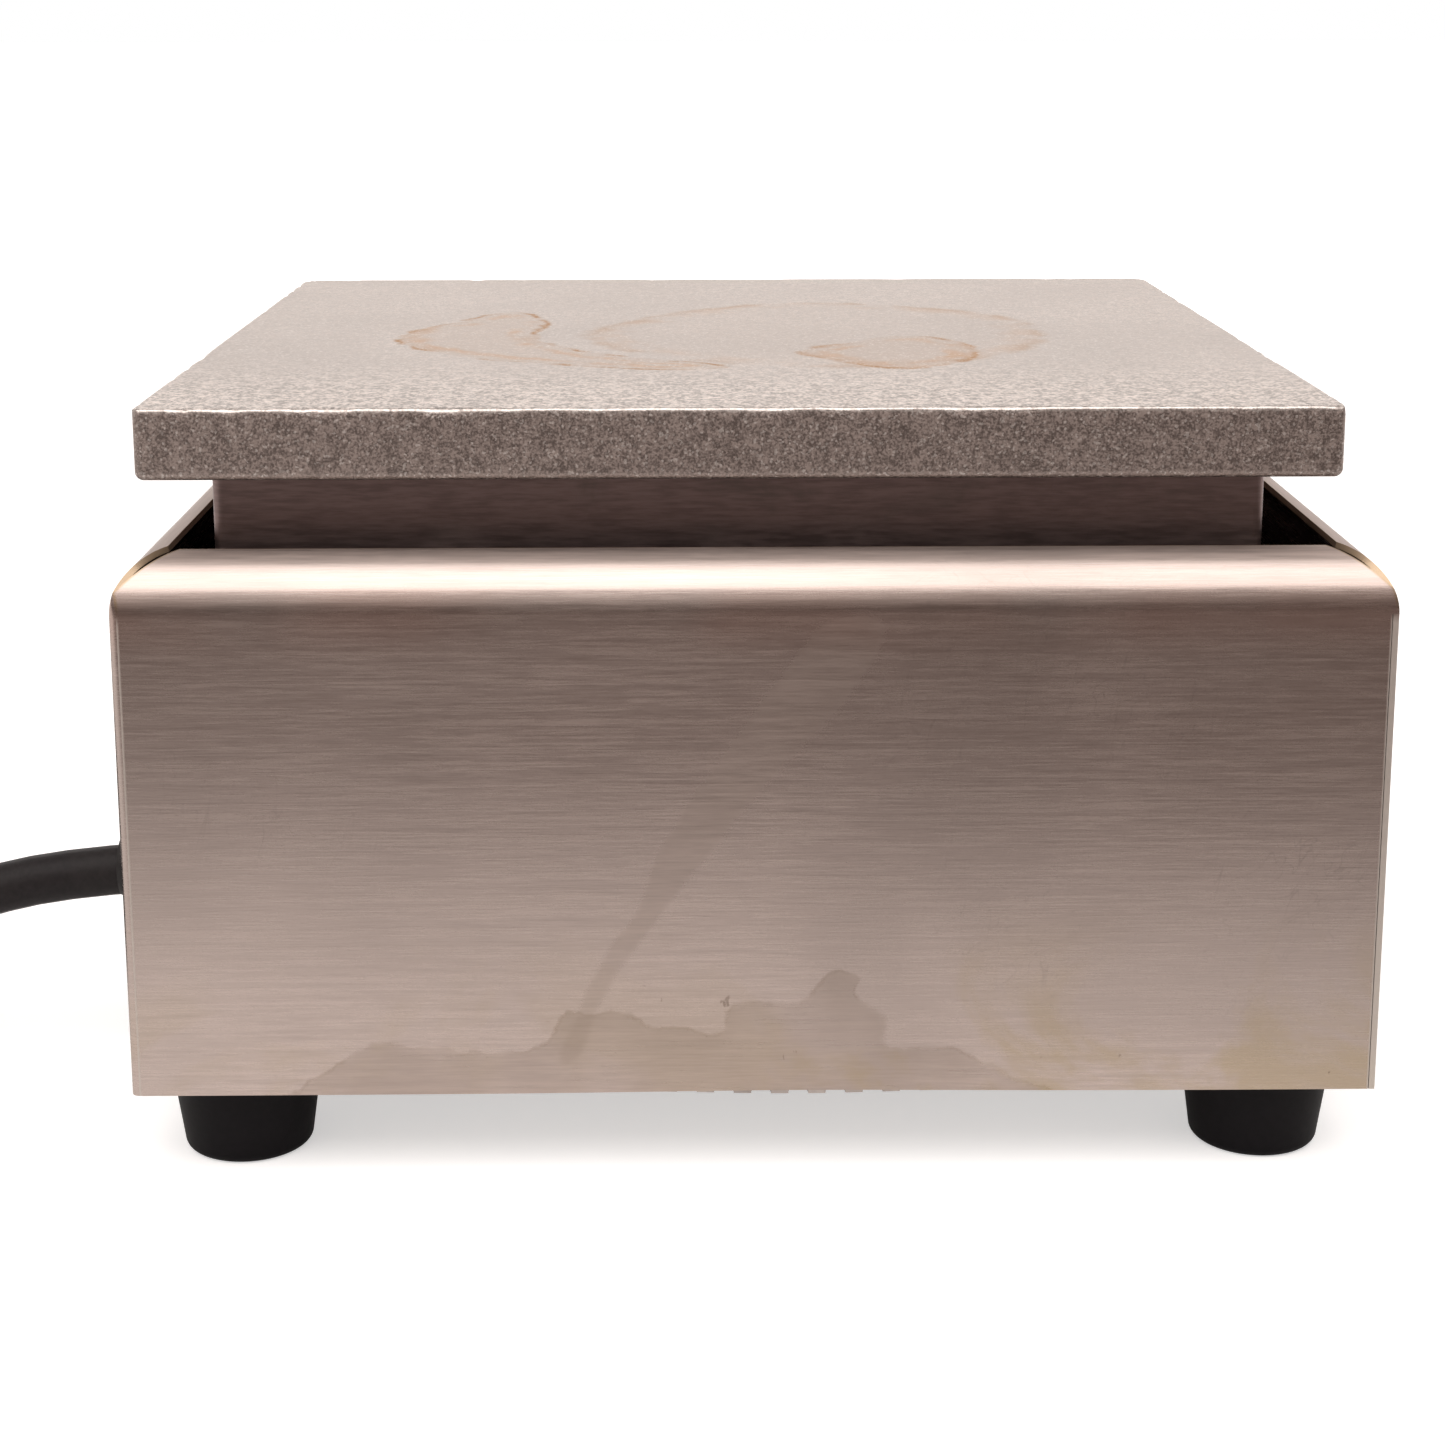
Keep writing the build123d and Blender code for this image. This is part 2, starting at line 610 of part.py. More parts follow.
# ---- wiring ----
def block_pole(k):
    """Y of one of the terminal block's three poles."""
    return BLOCK_CENTRE[1] + (k - 1) * 11


def make_terminal_block():
    """Three pole ceramic block on the tray."""
    x = (BLOCK_CENTRE[0] - BLOCK_SIZE[0] / 2, BLOCK_CENTRE[0] + BLOCK_SIZE[0] / 2)
    y = (BLOCK_CENTRE[1] - BLOCK_SIZE[1] / 2, BLOCK_CENTRE[1] + BLOCK_SIZE[1] / 2)
    block = box(x, y, (TRAY_TOP, TRAY_TOP + BLOCK_SIZE[2]))
    for k in (0, 1):
        groove = (block_pole(k) + 4.5, block_pole(k) + 6.5)
        top = TRAY_TOP + BLOCK_SIZE[2]
        block -= box((x[0] - 1, x[1] + 1), groove, (top - 3, top + 1))
    return block


def make_terminal_screws():
    """Clamp screws on top of the terminal block."""
    top = TRAY_TOP + BLOCK_SIZE[2]
    middle = BLOCK_CENTRE[0]
    places = [(middle + i * 4.5, block_pole(k)) for k in range(3) for i in (-1, 1)]
    return [rod_z(2.2, top, top + 1.4, x, y) for x, y in places]


def make_earth_screw():
    """Earth screw and its nut on the tray."""
    x, y = EARTH_PLACE
    return rod_z(1.6, HOUSING_BOTTOM - 1.5, TRAY_TOP, x, y) + rod_z(3.2, TRAY_TOP, TRAY_TOP + 3, x, y)


def lead_routes():
    """Every internal lead's route, from the cord's end to what it feeds."""
    wire_z = TRAY_TOP + WIRE_ENTRY
    left = BLOCK_CENTRE[0] - BLOCK_SIZE[0] / 2
    right = BLOCK_CENTRE[0] + BLOCK_SIZE[0] / 2
    start = CORD_ROUTE[0][0]
    tab = BODY_BACK - TAB_LENGTH
    leg_x, leg_y = element_leg(1)
    pin = ELEMENT_END - 6
    lamp = PANEL_FACE - LAMP_LENGTH
    return {
        "lead_line_inlet": [
            (start, -35.6, 26.8),
            (-72, -35.6, 26.8),
            (-65, -31, wire_z),
            (left, -31, wire_z),
        ],
        "lead_neutral_inlet": [
            (start, -31.6, 26.8),
            (-73, -31.6, 26.8),
            (-66, -20, wire_z),
            (left, -20, wire_z),
        ],
        "lead_earth": [
            (start, -33.6, 30),
            (-75, -33.6, 30),
            (-75, -56, 27),
            (EARTH_PLACE[0], EARTH_PLACE[1], 22),
            (EARTH_PLACE[0], EARTH_PLACE[1], TRAY_TOP + 3),
        ],
        "lead_line": [
            (right, -31, wire_z),
            (-27, -31, wire_z),
            (13, -33, 32),
            (30, -TAB_Y, KNOB_Z),
            (tab, -TAB_Y, KNOB_Z),
        ],
        "lead_neutral": [
            (right, -20, wire_z),
            (-23, -20, wire_z),
            (3, -2, 25),
            (27, -2, 32),
            (leg_x, -leg_y, 40),
            (leg_x, -leg_y, pin),
        ],
        "lead_load": [
            (tab, 7.4, KNOB_Z),
            (27, 7.4, KNOB_Z),
            (27, 18, 46),
            (leg_x, leg_y, 45),
            (leg_x, leg_y, pin),
        ],
        "lead_lamp_neutral": [
            (lamp, 46, KNOB_Z),
            (43, 46, KNOB_Z),
            (23, 28, 30),
            (-13, -9, wire_z),
            (right, -9, wire_z),
        ],
        "lead_lamp_load": [
            (lamp, 42, KNOB_Z),
            (43, 42, KNOB_Z),
            (37, 28, 34),
            (29, 12, 34),
            (33, 10.6, KNOB_Z),
            (tab, 10.6, KNOB_Z),
        ],
    }


# ---- cord and plug ----
def make_strain_relief():
    """Tapered bush that grips the cord where it leaves the rear wall."""
    inner_end = REAR_FACE + GLAND_IN
    relief = rod_x(8.0, REAR_FACE - 2.4, REAR_FACE, CORD_Y, CORD_Z)
    relief += rod_x(6.2, REAR_FACE, inner_end, CORD_Y, CORD_Z)
    length = GLAND_OUT - 2.4
    taper = Rot(0, -90, 0) * Cone(6.4, 4.9, length)
    relief += Pos(REAR_FACE - 2.4 - length / 2, CORD_Y, CORD_Z) * taper
    return relief - rod_x(CORD_R + CLEAR, REAR_FACE - GLAND_OUT - 1, inner_end + 1, CORD_Y, CORD_Z)


def make_strain_relief_nut():
    """Lock nut inside the rear wall."""
    nut = extrude(RegularPolygon(7.8, 6, major_radius=False, rotation=30), 3)
    nut = Pos(REAR_FACE + SHEET, CORD_Y, CORD_Z) * Rot(0, 90, 0) * nut
    return nut - rod_x(6.25, REAR_FACE, REAR_FACE + 5, CORD_Y, CORD_Z)


def make_coil():
    """Outer shape of the wound part of the cord."""
    inner, outer = COIL_R
    ring = rod_z(outer, 0, COIL_HEIGHT, *COIL_CENTRE)
    return ring - rod_z(inner, -1, COIL_HEIGHT + 1, *COIL_CENTRE)


def make_plug_body():
    """Moulded plug: a tapered neck and a grip that widens to the blade face."""
    x, y, z = TAIL_ROUTE[-1]
    neck_end = y + PLUG_NECK
    face = neck_end + PLUG_BODY
    neck = Pos(x, (y + neck_end) / 2, z) * Rot(-90, 0, 0) * Cone(4.9, 7.5, PLUG_NECK)
    small = Plane(origin=(x, neck_end, z), x_dir=(1, 0, 0), z_dir=(0, 1, 0)) * RectangleRounded(17, 16, 6)
    large = Plane(origin=(x, face - 12, z), x_dir=(1, 0, 0), z_dir=(0, 1, 0))
    large = large * RectangleRounded(PLUG_WIDTH, PLUG_THICKNESS, 5)
    grip = loft([small, large])
    head = extrude(large, 12, dir=(0, 1, 0))
    return neck + grip + head


def make_plug_blades():
    """Two flat blades."""
    x, y, z = TAIL_ROUTE[-1]
    face = y + PLUG_NECK + PLUG_BODY
    return [
        box((x + i * 6.35 - 0.75, x + i * 6.35 + 0.75), (face, face + BLADE_LENGTH), (z + 0.6, z + 6.9))
        for i in (-1, 1)
    ]


def make_plug_earth_pin():
    """Round earth pin."""
    x, y, z = TAIL_ROUTE[-1]
    face = y + PLUG_NECK + PLUG_BODY
    length = BLADE_LENGTH + 3
    pin = Pos(x, face + length / 2, z - 7.0) * Rot(90, 0, 0) * Cylinder(2.4, length)
    return fillet(pin.faces().sort_by(Axis.Y)[-1].edges(), 1.6)


def main():
    os.makedirs("parts", exist_ok=True)
    save("heating_plate", make_heating_plate())
    save("heating_element", make_heating_element())
    save("element_terminals", make_element_terminals())
    save("element_clamp_plate", make_layer(CLAMP_WIDTH, CLAMP_BOTTOM, CLAMP_TOP))
    save("insulation_pad", make_layer(PAD_WIDTH, PAD_BOTTOM, CLAMP_BOTTOM))
    save("insulation_pan", make_layer(PAN_WIDTH, PAN_BOTTOM, PAD_BOTTOM))
    save("riser_shield", make_riser_shield())
    places = stud_places()
    bore = STUD_R + CLEAR
    stud = (HOUSING_BOTTOM - NUT_HEIGHT - 1, PLATE_BOTTOM + 5.4)
    save("tie_studs", [rod_z(STUD_R, *stud, x, y) for x, y in places])
    pan_nut = (PAN_BOTTOM - CLEAR - NUT_HEIGHT, PAN_BOTTOM - CLEAR)
    save("pan_nuts", [hex_nut(x, y, *pan_nut, NUT_ACROSS, bore) for x, y in places])
    save("support_pillars", make_support_pillars())
    base_nut = (HOUSING_BOTTOM - NUT_HEIGHT, HOUSING_BOTTOM)
    save("base_nuts", [hex_nut(x, y, *base_nut, NUT_ACROSS, bore) for x, y in places])

    shell = make_shell()
    save("housing_wrapper", make_housing_wrapper(shell))
    save("control_panel", make_control_panel(shell))
    save("base_tray", make_base_tray())
    for name, (x, y) in zip(("rear_right", "rear_left", "front_right", "front_left"), foot_places()):
        save("foot_" + name, make_foot(x, y))
    save("foot_screws", [make_foot_screw(x, y) for x, y in foot_places()])
    save("foot_nuts", [hex_nut(x, y, TRAY_TOP, TRAY_TOP + 2.6, 6, 1.65) for x, y in foot_places()])
    save("rear_screws", [make_wall_screw(REAR_FACE, -1, y) for y in SCREW_SIDES])
    save("panel_screws", [make_wall_screw(PANEL_FACE, 1, y) for y in SCREW_SIDES])

    save("dial_plate", make_dial_plate())
    save("control_knob", make_control_knob())
    save("knob_pointer", pointer_block(CLEAR))
    save("knob_set_screw", make_set_screw())
    save("thermostat_shaft", make_thermostat_shaft())
    save("thermostat_body", make_thermostat_body())
    save("thermostat_bracket", make_thermostat_bracket())
    save("thermostat_screws", [make_thermostat_screw(y) for y in THERMOSTAT_SIDES])
    save("thermostat_tabs", make_thermostat_tabs())
    save("sensor_bulb", make_sensor_bulb())
    save("bulb_clip", make_bulb_clip())
    save("capillary_tube", tube_along(make_capillary(), CAPILLARY_R))
    save("pilot_bezel", make_pilot_bezel())
    save("pilot_lens", make_pilot_lens())
    save("pilot_body", make_pilot_body())
    save("pilot_clip", make_pilot_clip())

    save("terminal_block", make_terminal_block())
    save("terminal_screws", make_terminal_screws())
    save("earth_screw", make_earth_screw())
    for name, points in lead_routes().items():
        lead, _ = routed(points, LEAD_R, 0.4)
        save(name, lead)

    save("strain_relief", make_strain_relief())
    save("strain_relief_nut", make_strain_relief_nut())
    for name, points in (("cord_tube", CORD_ROUTE), ("cord_tail", TAIL_ROUTE)):
        tube, path = routed(points, CORD_R)
        swept = math.pi * CORD_R**2 * path.length
        print(name, "radii", [round(r, 1) for r in corner_radii(points)])
        print(name, "length", round(path.length, 1), "volume", round(tube.volume), round(swept))
        save(name, tube)
    save("cord_coil", make_coil())
    save("plug_body", make_plug_body())
    save("plug_blades", make_plug_blades())
    save("plug_earth_pin", make_plug_earth_pin())


main()
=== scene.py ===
"""Hot plate burner: a square cast plate on a rolled sheet housing, with its control side, cord and studio.

Every length is in metres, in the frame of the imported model: +X out of the control panel, +Z up.
"""

import logging
import math
from dataclasses import dataclass, field
from enum import Enum
from typing import Optional, Sequence

import bmesh
import bpy
import numpy as np
from mathutils import Matrix, Vector


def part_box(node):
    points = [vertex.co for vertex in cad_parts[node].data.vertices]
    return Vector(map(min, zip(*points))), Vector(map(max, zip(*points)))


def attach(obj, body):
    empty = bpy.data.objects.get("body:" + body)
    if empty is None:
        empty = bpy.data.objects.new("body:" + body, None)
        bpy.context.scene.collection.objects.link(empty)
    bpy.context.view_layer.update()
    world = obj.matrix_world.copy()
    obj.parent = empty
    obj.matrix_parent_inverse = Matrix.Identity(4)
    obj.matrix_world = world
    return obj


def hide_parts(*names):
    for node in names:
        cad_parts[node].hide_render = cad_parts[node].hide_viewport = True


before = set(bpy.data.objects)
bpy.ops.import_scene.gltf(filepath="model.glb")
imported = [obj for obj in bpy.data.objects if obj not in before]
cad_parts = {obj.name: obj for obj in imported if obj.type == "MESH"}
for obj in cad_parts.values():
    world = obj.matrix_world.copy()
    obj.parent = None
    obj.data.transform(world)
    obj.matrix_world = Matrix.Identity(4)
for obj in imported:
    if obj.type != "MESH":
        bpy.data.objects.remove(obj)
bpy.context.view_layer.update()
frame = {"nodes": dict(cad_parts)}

log = logging.getLogger("hot_plate")

MM = 0.001
Colour = tuple[float, float, float]
Socket = bpy.types.NodeSocket
Piece = bpy.types.Object
WHITE: Colour = (1.0, 1.0, 1.0)
BLACK: Colour = (0.0, 0.0, 0.0)


def toned(colour: Colour, factor: float) -> Colour:
    """Colour made lighter or darker by a factor, with no channel past 1."""
    return tuple(min(channel * factor, 1.0) for channel in colour)


# ---------------------------------------------------------------- surfaces worked out with numpy


def smooth_step(t: np.ndarray, low: float, high: float) -> np.ndarray:
    """Ease from 0 at low to 1 at high: 3 s squared less 2 s cubed, with s clipped to 0..1."""
    s = np.clip((np.asarray(t, float) - low) / (high - low), 0.0, 1.0)
    return s * s * (3.0 - 2.0 * s)


def ripple(a: np.ndarray, b: np.ndarray, wavelength: float, seed: int) -> np.ndarray:
    """Gentle unevenness: the mean of seven cosine waves whose directions and phases are seeded.

    Args:
        a: First coordinate of each point.
        b: Second coordinate of each point.
        wavelength: Middle length of the waves, in the unit of a and b.
        seed: Seed of the directions, lengths and phases.

    Returns:
        Values from -1 to 1, of the shape of a.
    """
    rng = np.random.default_rng(seed)
    total = np.zeros(np.broadcast(a, b).shape)
    for turn, stretch, phase in rng.uniform(0.0, 1.0, (7, 3)):
        heading = 2.0 * math.pi * turn
        wave = 2.0 * math.pi / (wavelength * (0.6 + 0.9 * stretch))
        total += np.cos(wave * (a * math.cos(heading) + b * math.sin(heading)) + 2.0 * math.pi * phase)
    return total / 7.0


def closed_curve(points: Sequence[tuple[float, float]], steps: int = 8) -> np.ndarray:
    """Smooth closed curve through points: a Catmull-Rom cubic in each span, with a wrap at the end.

    Args:
        points: Corner points in order.
        steps: Samples in each span.

    Returns:
        Array of (points x steps, 2).
    """
    p1 = np.asarray(points, float)
    p0, p2, p3 = np.roll(p1, 1, 0), np.roll(p1, -1, 0), np.roll(p1, -2, 0)
    t = (np.arange(steps) / steps)[None, :, None]
    a, b, c, d = (p[:, None, :] for p in (p0, p1, p2, p3))
    curve = 0.5 * (2 * b + (c - a) * t + (2 * a - 5 * b + 4 * c - d) * t**2 + (3 * b - a - 3 * c + d) * t**3)
    return curve.reshape(-1, 2)


def signed_distance(x: np.ndarray, y: np.ndarray, outline: np.ndarray) -> np.ndarray:
    """Distance of points to a closed outline, negative inside it.

    For each side of the outline the foot of the perpendicular is clipped to the side.  A point is
    inside where a ray from it crosses the sides an odd number of times.

    Args:
        x: First coordinates.
        y: Second coordinates.
        outline: Closed outline, (n, 2).

    Returns:
        Distances of the shape of x.
    """
    px, py = x.ravel()[:, None], y.ravel()[:, None]
    ax, ay = outline[:, 0][None], outline[:, 1][None]
    bx, by = np.roll(outline, -1, 0).T[:, None]
    dx, dy = bx - ax, by - ay
    along = np.clip(((px - ax) * dx + (py - ay) * dy) / np.maximum(dx * dx + dy * dy, 1e-12), 0.0, 1.0)
    gap = np.sqrt(((px - ax - along * dx) ** 2 + (py - ay - along * dy) ** 2).min(1))
    rises = (ay > py) != (by > py)
    run = np.where(np.abs(dy) > 1e-12, dy, 1e-12)
    crossings = (rises & (px < ax + dx * (py - ay) / run)).sum(1)
    return np.where(crossings % 2 == 1, -gap, gap).reshape(x.shape)


def surface_normals(grid: np.ndarray, closed: bool) -> np.ndarray:
    """Unit normals of a grid: the cross product of its two central differences.

    Args:
        grid: Points, (rows, columns, 3).
        closed: Whether the last column joins the first.

    Returns:
        Array of the same shape.
    """
    if closed:
        across = np.roll(grid, -1, 1) - np.roll(grid, 1, 1)
    else:
        across = np.gradient(grid, axis=1)
    normal = np.cross(across, np.gradient(grid, axis=0))
    return normal / np.maximum(np.linalg.norm(normal, axis=2, keepdims=True), 1e-12)


def grid_quads(rows: int, columns: int, closed: bool, first: int = 0) -> np.ndarray:
    """Corner numbers of a grid's quads, counter-clockwise seen from its outer side."""
    index = first + np.arange(rows * columns).reshape(rows, columns)
    right = np.roll(index, -1, 1)
    if not closed:
        index, right = index[:, :-1], right[:, :-1]
    return np.stack([index[:-1], right[:-1], right[1:], index[1:]], -1).reshape(-1, 4)


@dataclass
class Surface:
    """Vertices, quads and per-vertex values of one piece while it is being made."""

    points: np.ndarray
    quads: np.ndarray
    fan: list[tuple[int, ...]] = field(default_factory=list)
    chart: Optional[np.ndarray] = None
    values: dict[str, np.ndarray] = field(default_factory=dict)

    @staticmethod
    def joined(parts: Sequence["Surface"]) -> "Surface":
        """One surface from several that carry the same values."""
        starts = np.cumsum([0] + [len(p.points) for p in parts[:-1]])
        quads = np.vstack([p.quads + s for p, s in zip(parts, starts)])
        fan = [tuple(i + int(s) for i in f) for p, s in zip(parts, starts) for f in p.fan]
        chart = None if parts[0].chart is None else np.vstack([p.chart for p in parts])
        values = {k: np.concatenate([p.values[k] for p in parts]) for k in parts[0].values}
        return Surface(np.vstack([p.points for p in parts]), quads, fan, chart, values)

    def moved(self, matrix: np.ndarray, shift: Sequence[float]) -> "Surface":
        """Copy whose points p become matrix p + shift."""
        points = self.points @ np.asarray(matrix, float).T + np.asarray(shift, float)
        return Surface(points, self.quads, self.fan, self.chart, self.values)

    def piece(self, name: str, sharp_deg: float = 32.0) -> Piece:
        """Put the surface into a mesh object at the origin.

        Args:
            name: Name of the piece.
            sharp_deg: Edges that turn more than this are sharp.

        Returns:
            The linked object.
        """
        mesh = bpy.data.meshes.new(name)
        mesh.from_pydata(self.points.tolist(), [], self.quads.tolist() + self.fan)
        if self.chart is not None:
            layer = mesh.uv_layers.new(name="UVMap")
            corner = np.zeros(len(mesh.loops), np.int32)
            mesh.loops.foreach_get("vertex_index", corner)
            layer.data.foreach_set("uv", self.chart[corner].astype(np.float32).ravel())
        for key, value in self.values.items():
            mesh.attributes.new(key, "FLOAT", "POINT").data.foreach_set("value", value.astype(np.float32))
        mesh.validate()
        mesh.shade_smooth()
        mesh.set_sharp_from_angle(angle=math.radians(sharp_deg))
        mesh.update()
        made = bpy.data.objects.new(name, mesh)
        bpy.context.scene.collection.objects.link(made)
        return made


def skin(
    grid: np.ndarray, chart: Optional[np.ndarray] = None, closed: bool = False, **values: np.ndarray
) -> Surface:
    """Open surface through a grid of points.

    Args:
        grid: Points, (rows, columns, 3), with the outer side towards across x along.
        chart: Surface coordinates of each point, (rows, columns, 2).
        closed: Whether the last column joins the first.
        values: Named values of each point, (rows, columns).

    Returns:
        The surface.
    """
    rows, columns = grid.shape[:2]
    flat_chart = None if chart is None else chart.reshape(-1, 2)
    flat = {key: value.ravel() for key, value in values.items()}
    return Surface(grid.reshape(-1, 3), grid_quads(rows, columns, closed), [], flat_chart, flat)


def sheet_shell(grid: np.ndarray, chart: np.ndarray, thickness: float, **values: np.ndarray) -> Surface:
    """Bent sheet: an outer grid, the same grid moved inwards along its normals, and the four cut edges.

    Args:
        grid: Outer points, (rows, columns, 3).
        chart: Surface coordinates, (rows, columns, 2).
        thickness: Sheet thickness.
        values: Named values of each point, (rows, columns).

    Returns:
        The closed surface, with the value "cut" at 1 along the cut edges.
    """
    rows, columns = grid.shape[:2]
    outer = grid.reshape(-1, 3)
    inner = (grid - thickness * surface_normals(grid, False)).reshape(-1, 3)
    quads = grid_quads(rows, columns, False)
    count = rows * columns
    index = np.arange(count).reshape(rows, columns)
    rim = [index[0], index[:, -1], index[-1][::-1], index[:, 0][::-1]]
    sides = [np.stack([r[1:], r[:-1], r[:-1] + count, r[1:] + count], -1) for r in rim]
    cut = np.zeros((rows, columns))
    cut[-1], cut[:, 0], cut[:, -1] = 1.0, 1.0, 1.0
    flat = {key: np.tile(value.ravel(), 2) for key, value in values.items()}
    flat["cut"] = np.tile(cut.ravel(), 2)
    every = np.vstack([quads, quads[:, ::-1] + count, *sides])
    return Surface(np.vstack([outer, inner]), every, [], np.tile(chart.reshape(-1, 2), (2, 1)), flat)


def capped(grid: np.ndarray, **values: np.ndarray) -> Surface:
    """Closed surface through rings of points, with a fan of triangles over each end.

    Args:
        grid: Rings, (rows, columns, 3), each ring counter-clockwise seen from the last one's side.
        values: Named values of each point, (rows, columns).

    Returns:
        The closed surface.
    """
    rows, columns = grid.shape[:2]
    made = skin(grid, None, True, **values)
    ends = np.stack([grid[0].mean(0), grid[-1].mean(0)])
    made.points = np.vstack([made.points, ends])
    for key, value in made.values.items():
        made.values[key] = np.append(value, [value[:columns].mean(), value[-columns:].mean()])
    around = np.arange(columns)
    after = np.roll(around, -1)
    start, end = rows * columns, rows * columns + 1
    top = (rows - 1) * columns
    made.fan = [(start, int(b), int(a)) for a, b in zip(around, after)]
    made.fan += [(end, int(top + a), int(top + b)) for a, b in zip(around, after)]
    return made


def merge_doubles(piece: Piece, gap: float = 1e-6, sharp_deg: float = 32.0) -> None:
    """Join points of a piece that lie closer than gap, and mark its sharp edges again.

    Args:
        piece: The piece.
        gap: Largest distance of two points that are joined.
        sharp_deg: Edges that turn more than this are sharp.
    """
    work = bmesh.new()
    work.from_mesh(piece.data)
    bmesh.ops.remove_doubles(work, verts=work.verts, dist=gap)
    work.to_mesh(piece.data)
    work.free()
    piece.data.shade_smooth()
    piece.data.set_sharp_from_angle(angle=math.radians(sharp_deg))


AXIS_TO_X = np.array([[0.0, 0.0, 1.0], [1.0, 0.0, 0.0], [0.0, 1.0, 0.0]])
AXIS_TO_MINUS_X = np.array([[0.0, 0.0, -1.0], [-1.0, 0.0, 0.0], [0.0, 1.0, 0.0]])


# ---------------------------------------------------------------- nodes


class Graph:
    """Short calls for building a node tree."""

    def __init__(self, tree: bpy.types.NodeTree) -> None:
        """Keep the tree that the calls add to."""
        self.tree = tree

    def node(self, kind: str, inputs: Optional[dict] = None, **settings: object) -> bpy.types.Node:
        """Add a node.

        Args:
            kind: Node type.
            inputs: Values or sockets by input name or number.
            settings: Properties of the node.

        Returns:
            The node.
        """
        made = self.tree.nodes.new(kind)
        for key, value in settings.items():
            setattr(made, key, value)
        for key, value in (inputs or {}).items():
            if isinstance(value, bpy.types.NodeSocket):
                self.tree.links.new(value, made.inputs[key])
            else:
                made.inputs[key].default_value = value
        return made

    def math(self, operation: str, a: object, b: object = 0.0) -> Socket:
        """Result of one math operation."""
        return self.node("ShaderNodeMath", {0: a, 1: b}, operation=operation).outputs[0]

    def times(self, a: object, b: object) -> Socket:
        """Product of two values."""
        return self.math("MULTIPLY", a, b)

    def plus(self, a: object, b: object) -> Socket:
        """Sum of two values."""
        return self.math("ADD", a, b)

    def axes(self, vector: Socket) -> Sequence[Socket]:
        """The three parts of a vector."""
        return self.node("ShaderNodeSeparateXYZ", {0: vector}).outputs

    def stored(self, name: str) -> Socket:
        """Value that the piece keeps at each of its points under a name."""
        return self.node("ShaderNodeAttribute", attribute_name=name).outputs["Fac"]

    def stretched(self, vector: Socket, scale: Colour, shift: Colour = (0.0, 0.0, 0.0)) -> Socket:
        """Vector times scale plus shift, by a Mapping node."""
        made = self.node("ShaderNodeMapping", {"Vector": vector, "Location": shift, "Scale": scale})
        return made.outputs[0]

    def noise(
        self, vector: Socket, scale: object, detail: float = 3.0, rough: float = 0.55, warp: float = 0.0
    ) -> Socket:
        """Fractal noise around 0.5."""
        inputs = {"Vector": vector, "Scale": scale, "Detail": detail, "Roughness": rough, "Distortion": warp}
        return self.node("ShaderNodeTexNoise", inputs).outputs[0]

    def ramp(self, value: Socket, low: object, high: object, start: float = 0.0, end: float = 1.0) -> Socket:
        """Value carried smoothly from start at low to end at high."""
        inputs = {"Value": value, "From Min": low, "From Max": high, "To Min": start, "To Max": end}
        made = self.node("ShaderNodeMapRange", inputs, interpolation_type="SMOOTHSTEP", clamp=True)
        return made.outputs[0]

    def blend(self, mask: object, first: object, second: object) -> Socket:
        """Mix of two colours by a mask: the first where it is 0, the second where it is 1."""
        made = self.node("ShaderNodeMix", data_type="RGBA")
        for socket, value in zip((made.inputs[0], made.inputs[6], made.inputs[7]), (mask, first, second)):
            if isinstance(value, bpy.types.NodeSocket):
                self.tree.links.new(value, socket)
            else:
                socket.default_value = (*value, 1.0) if isinstance(value, tuple) else value
        return made.outputs[2]

    def effect(self, kind: "Effect", **inputs: object) -> bpy.types.Node:
        """Place one of the shared effects."""
        made = self.tree.nodes.new("ShaderNodeGroup")
        made.node_tree = EffectLibrary.tree(kind)
        for key, value in inputs.items():
            name = key.replace("_", " ").title()
            if isinstance(value, bpy.types.NodeSocket):
                self.tree.links.new(value, made.inputs[name])
            else:
                made.inputs[name].default_value = value
        return made


class Effect(Enum):
    """The effects that several finishes share."""

    GRAIN = "Cast Grain"
    BRUSHED = "Brush Lines"
    BLOTCH = "Blotches"
    OUTLINE = "Dried Outline"
    SCUFF = "Scuffs"


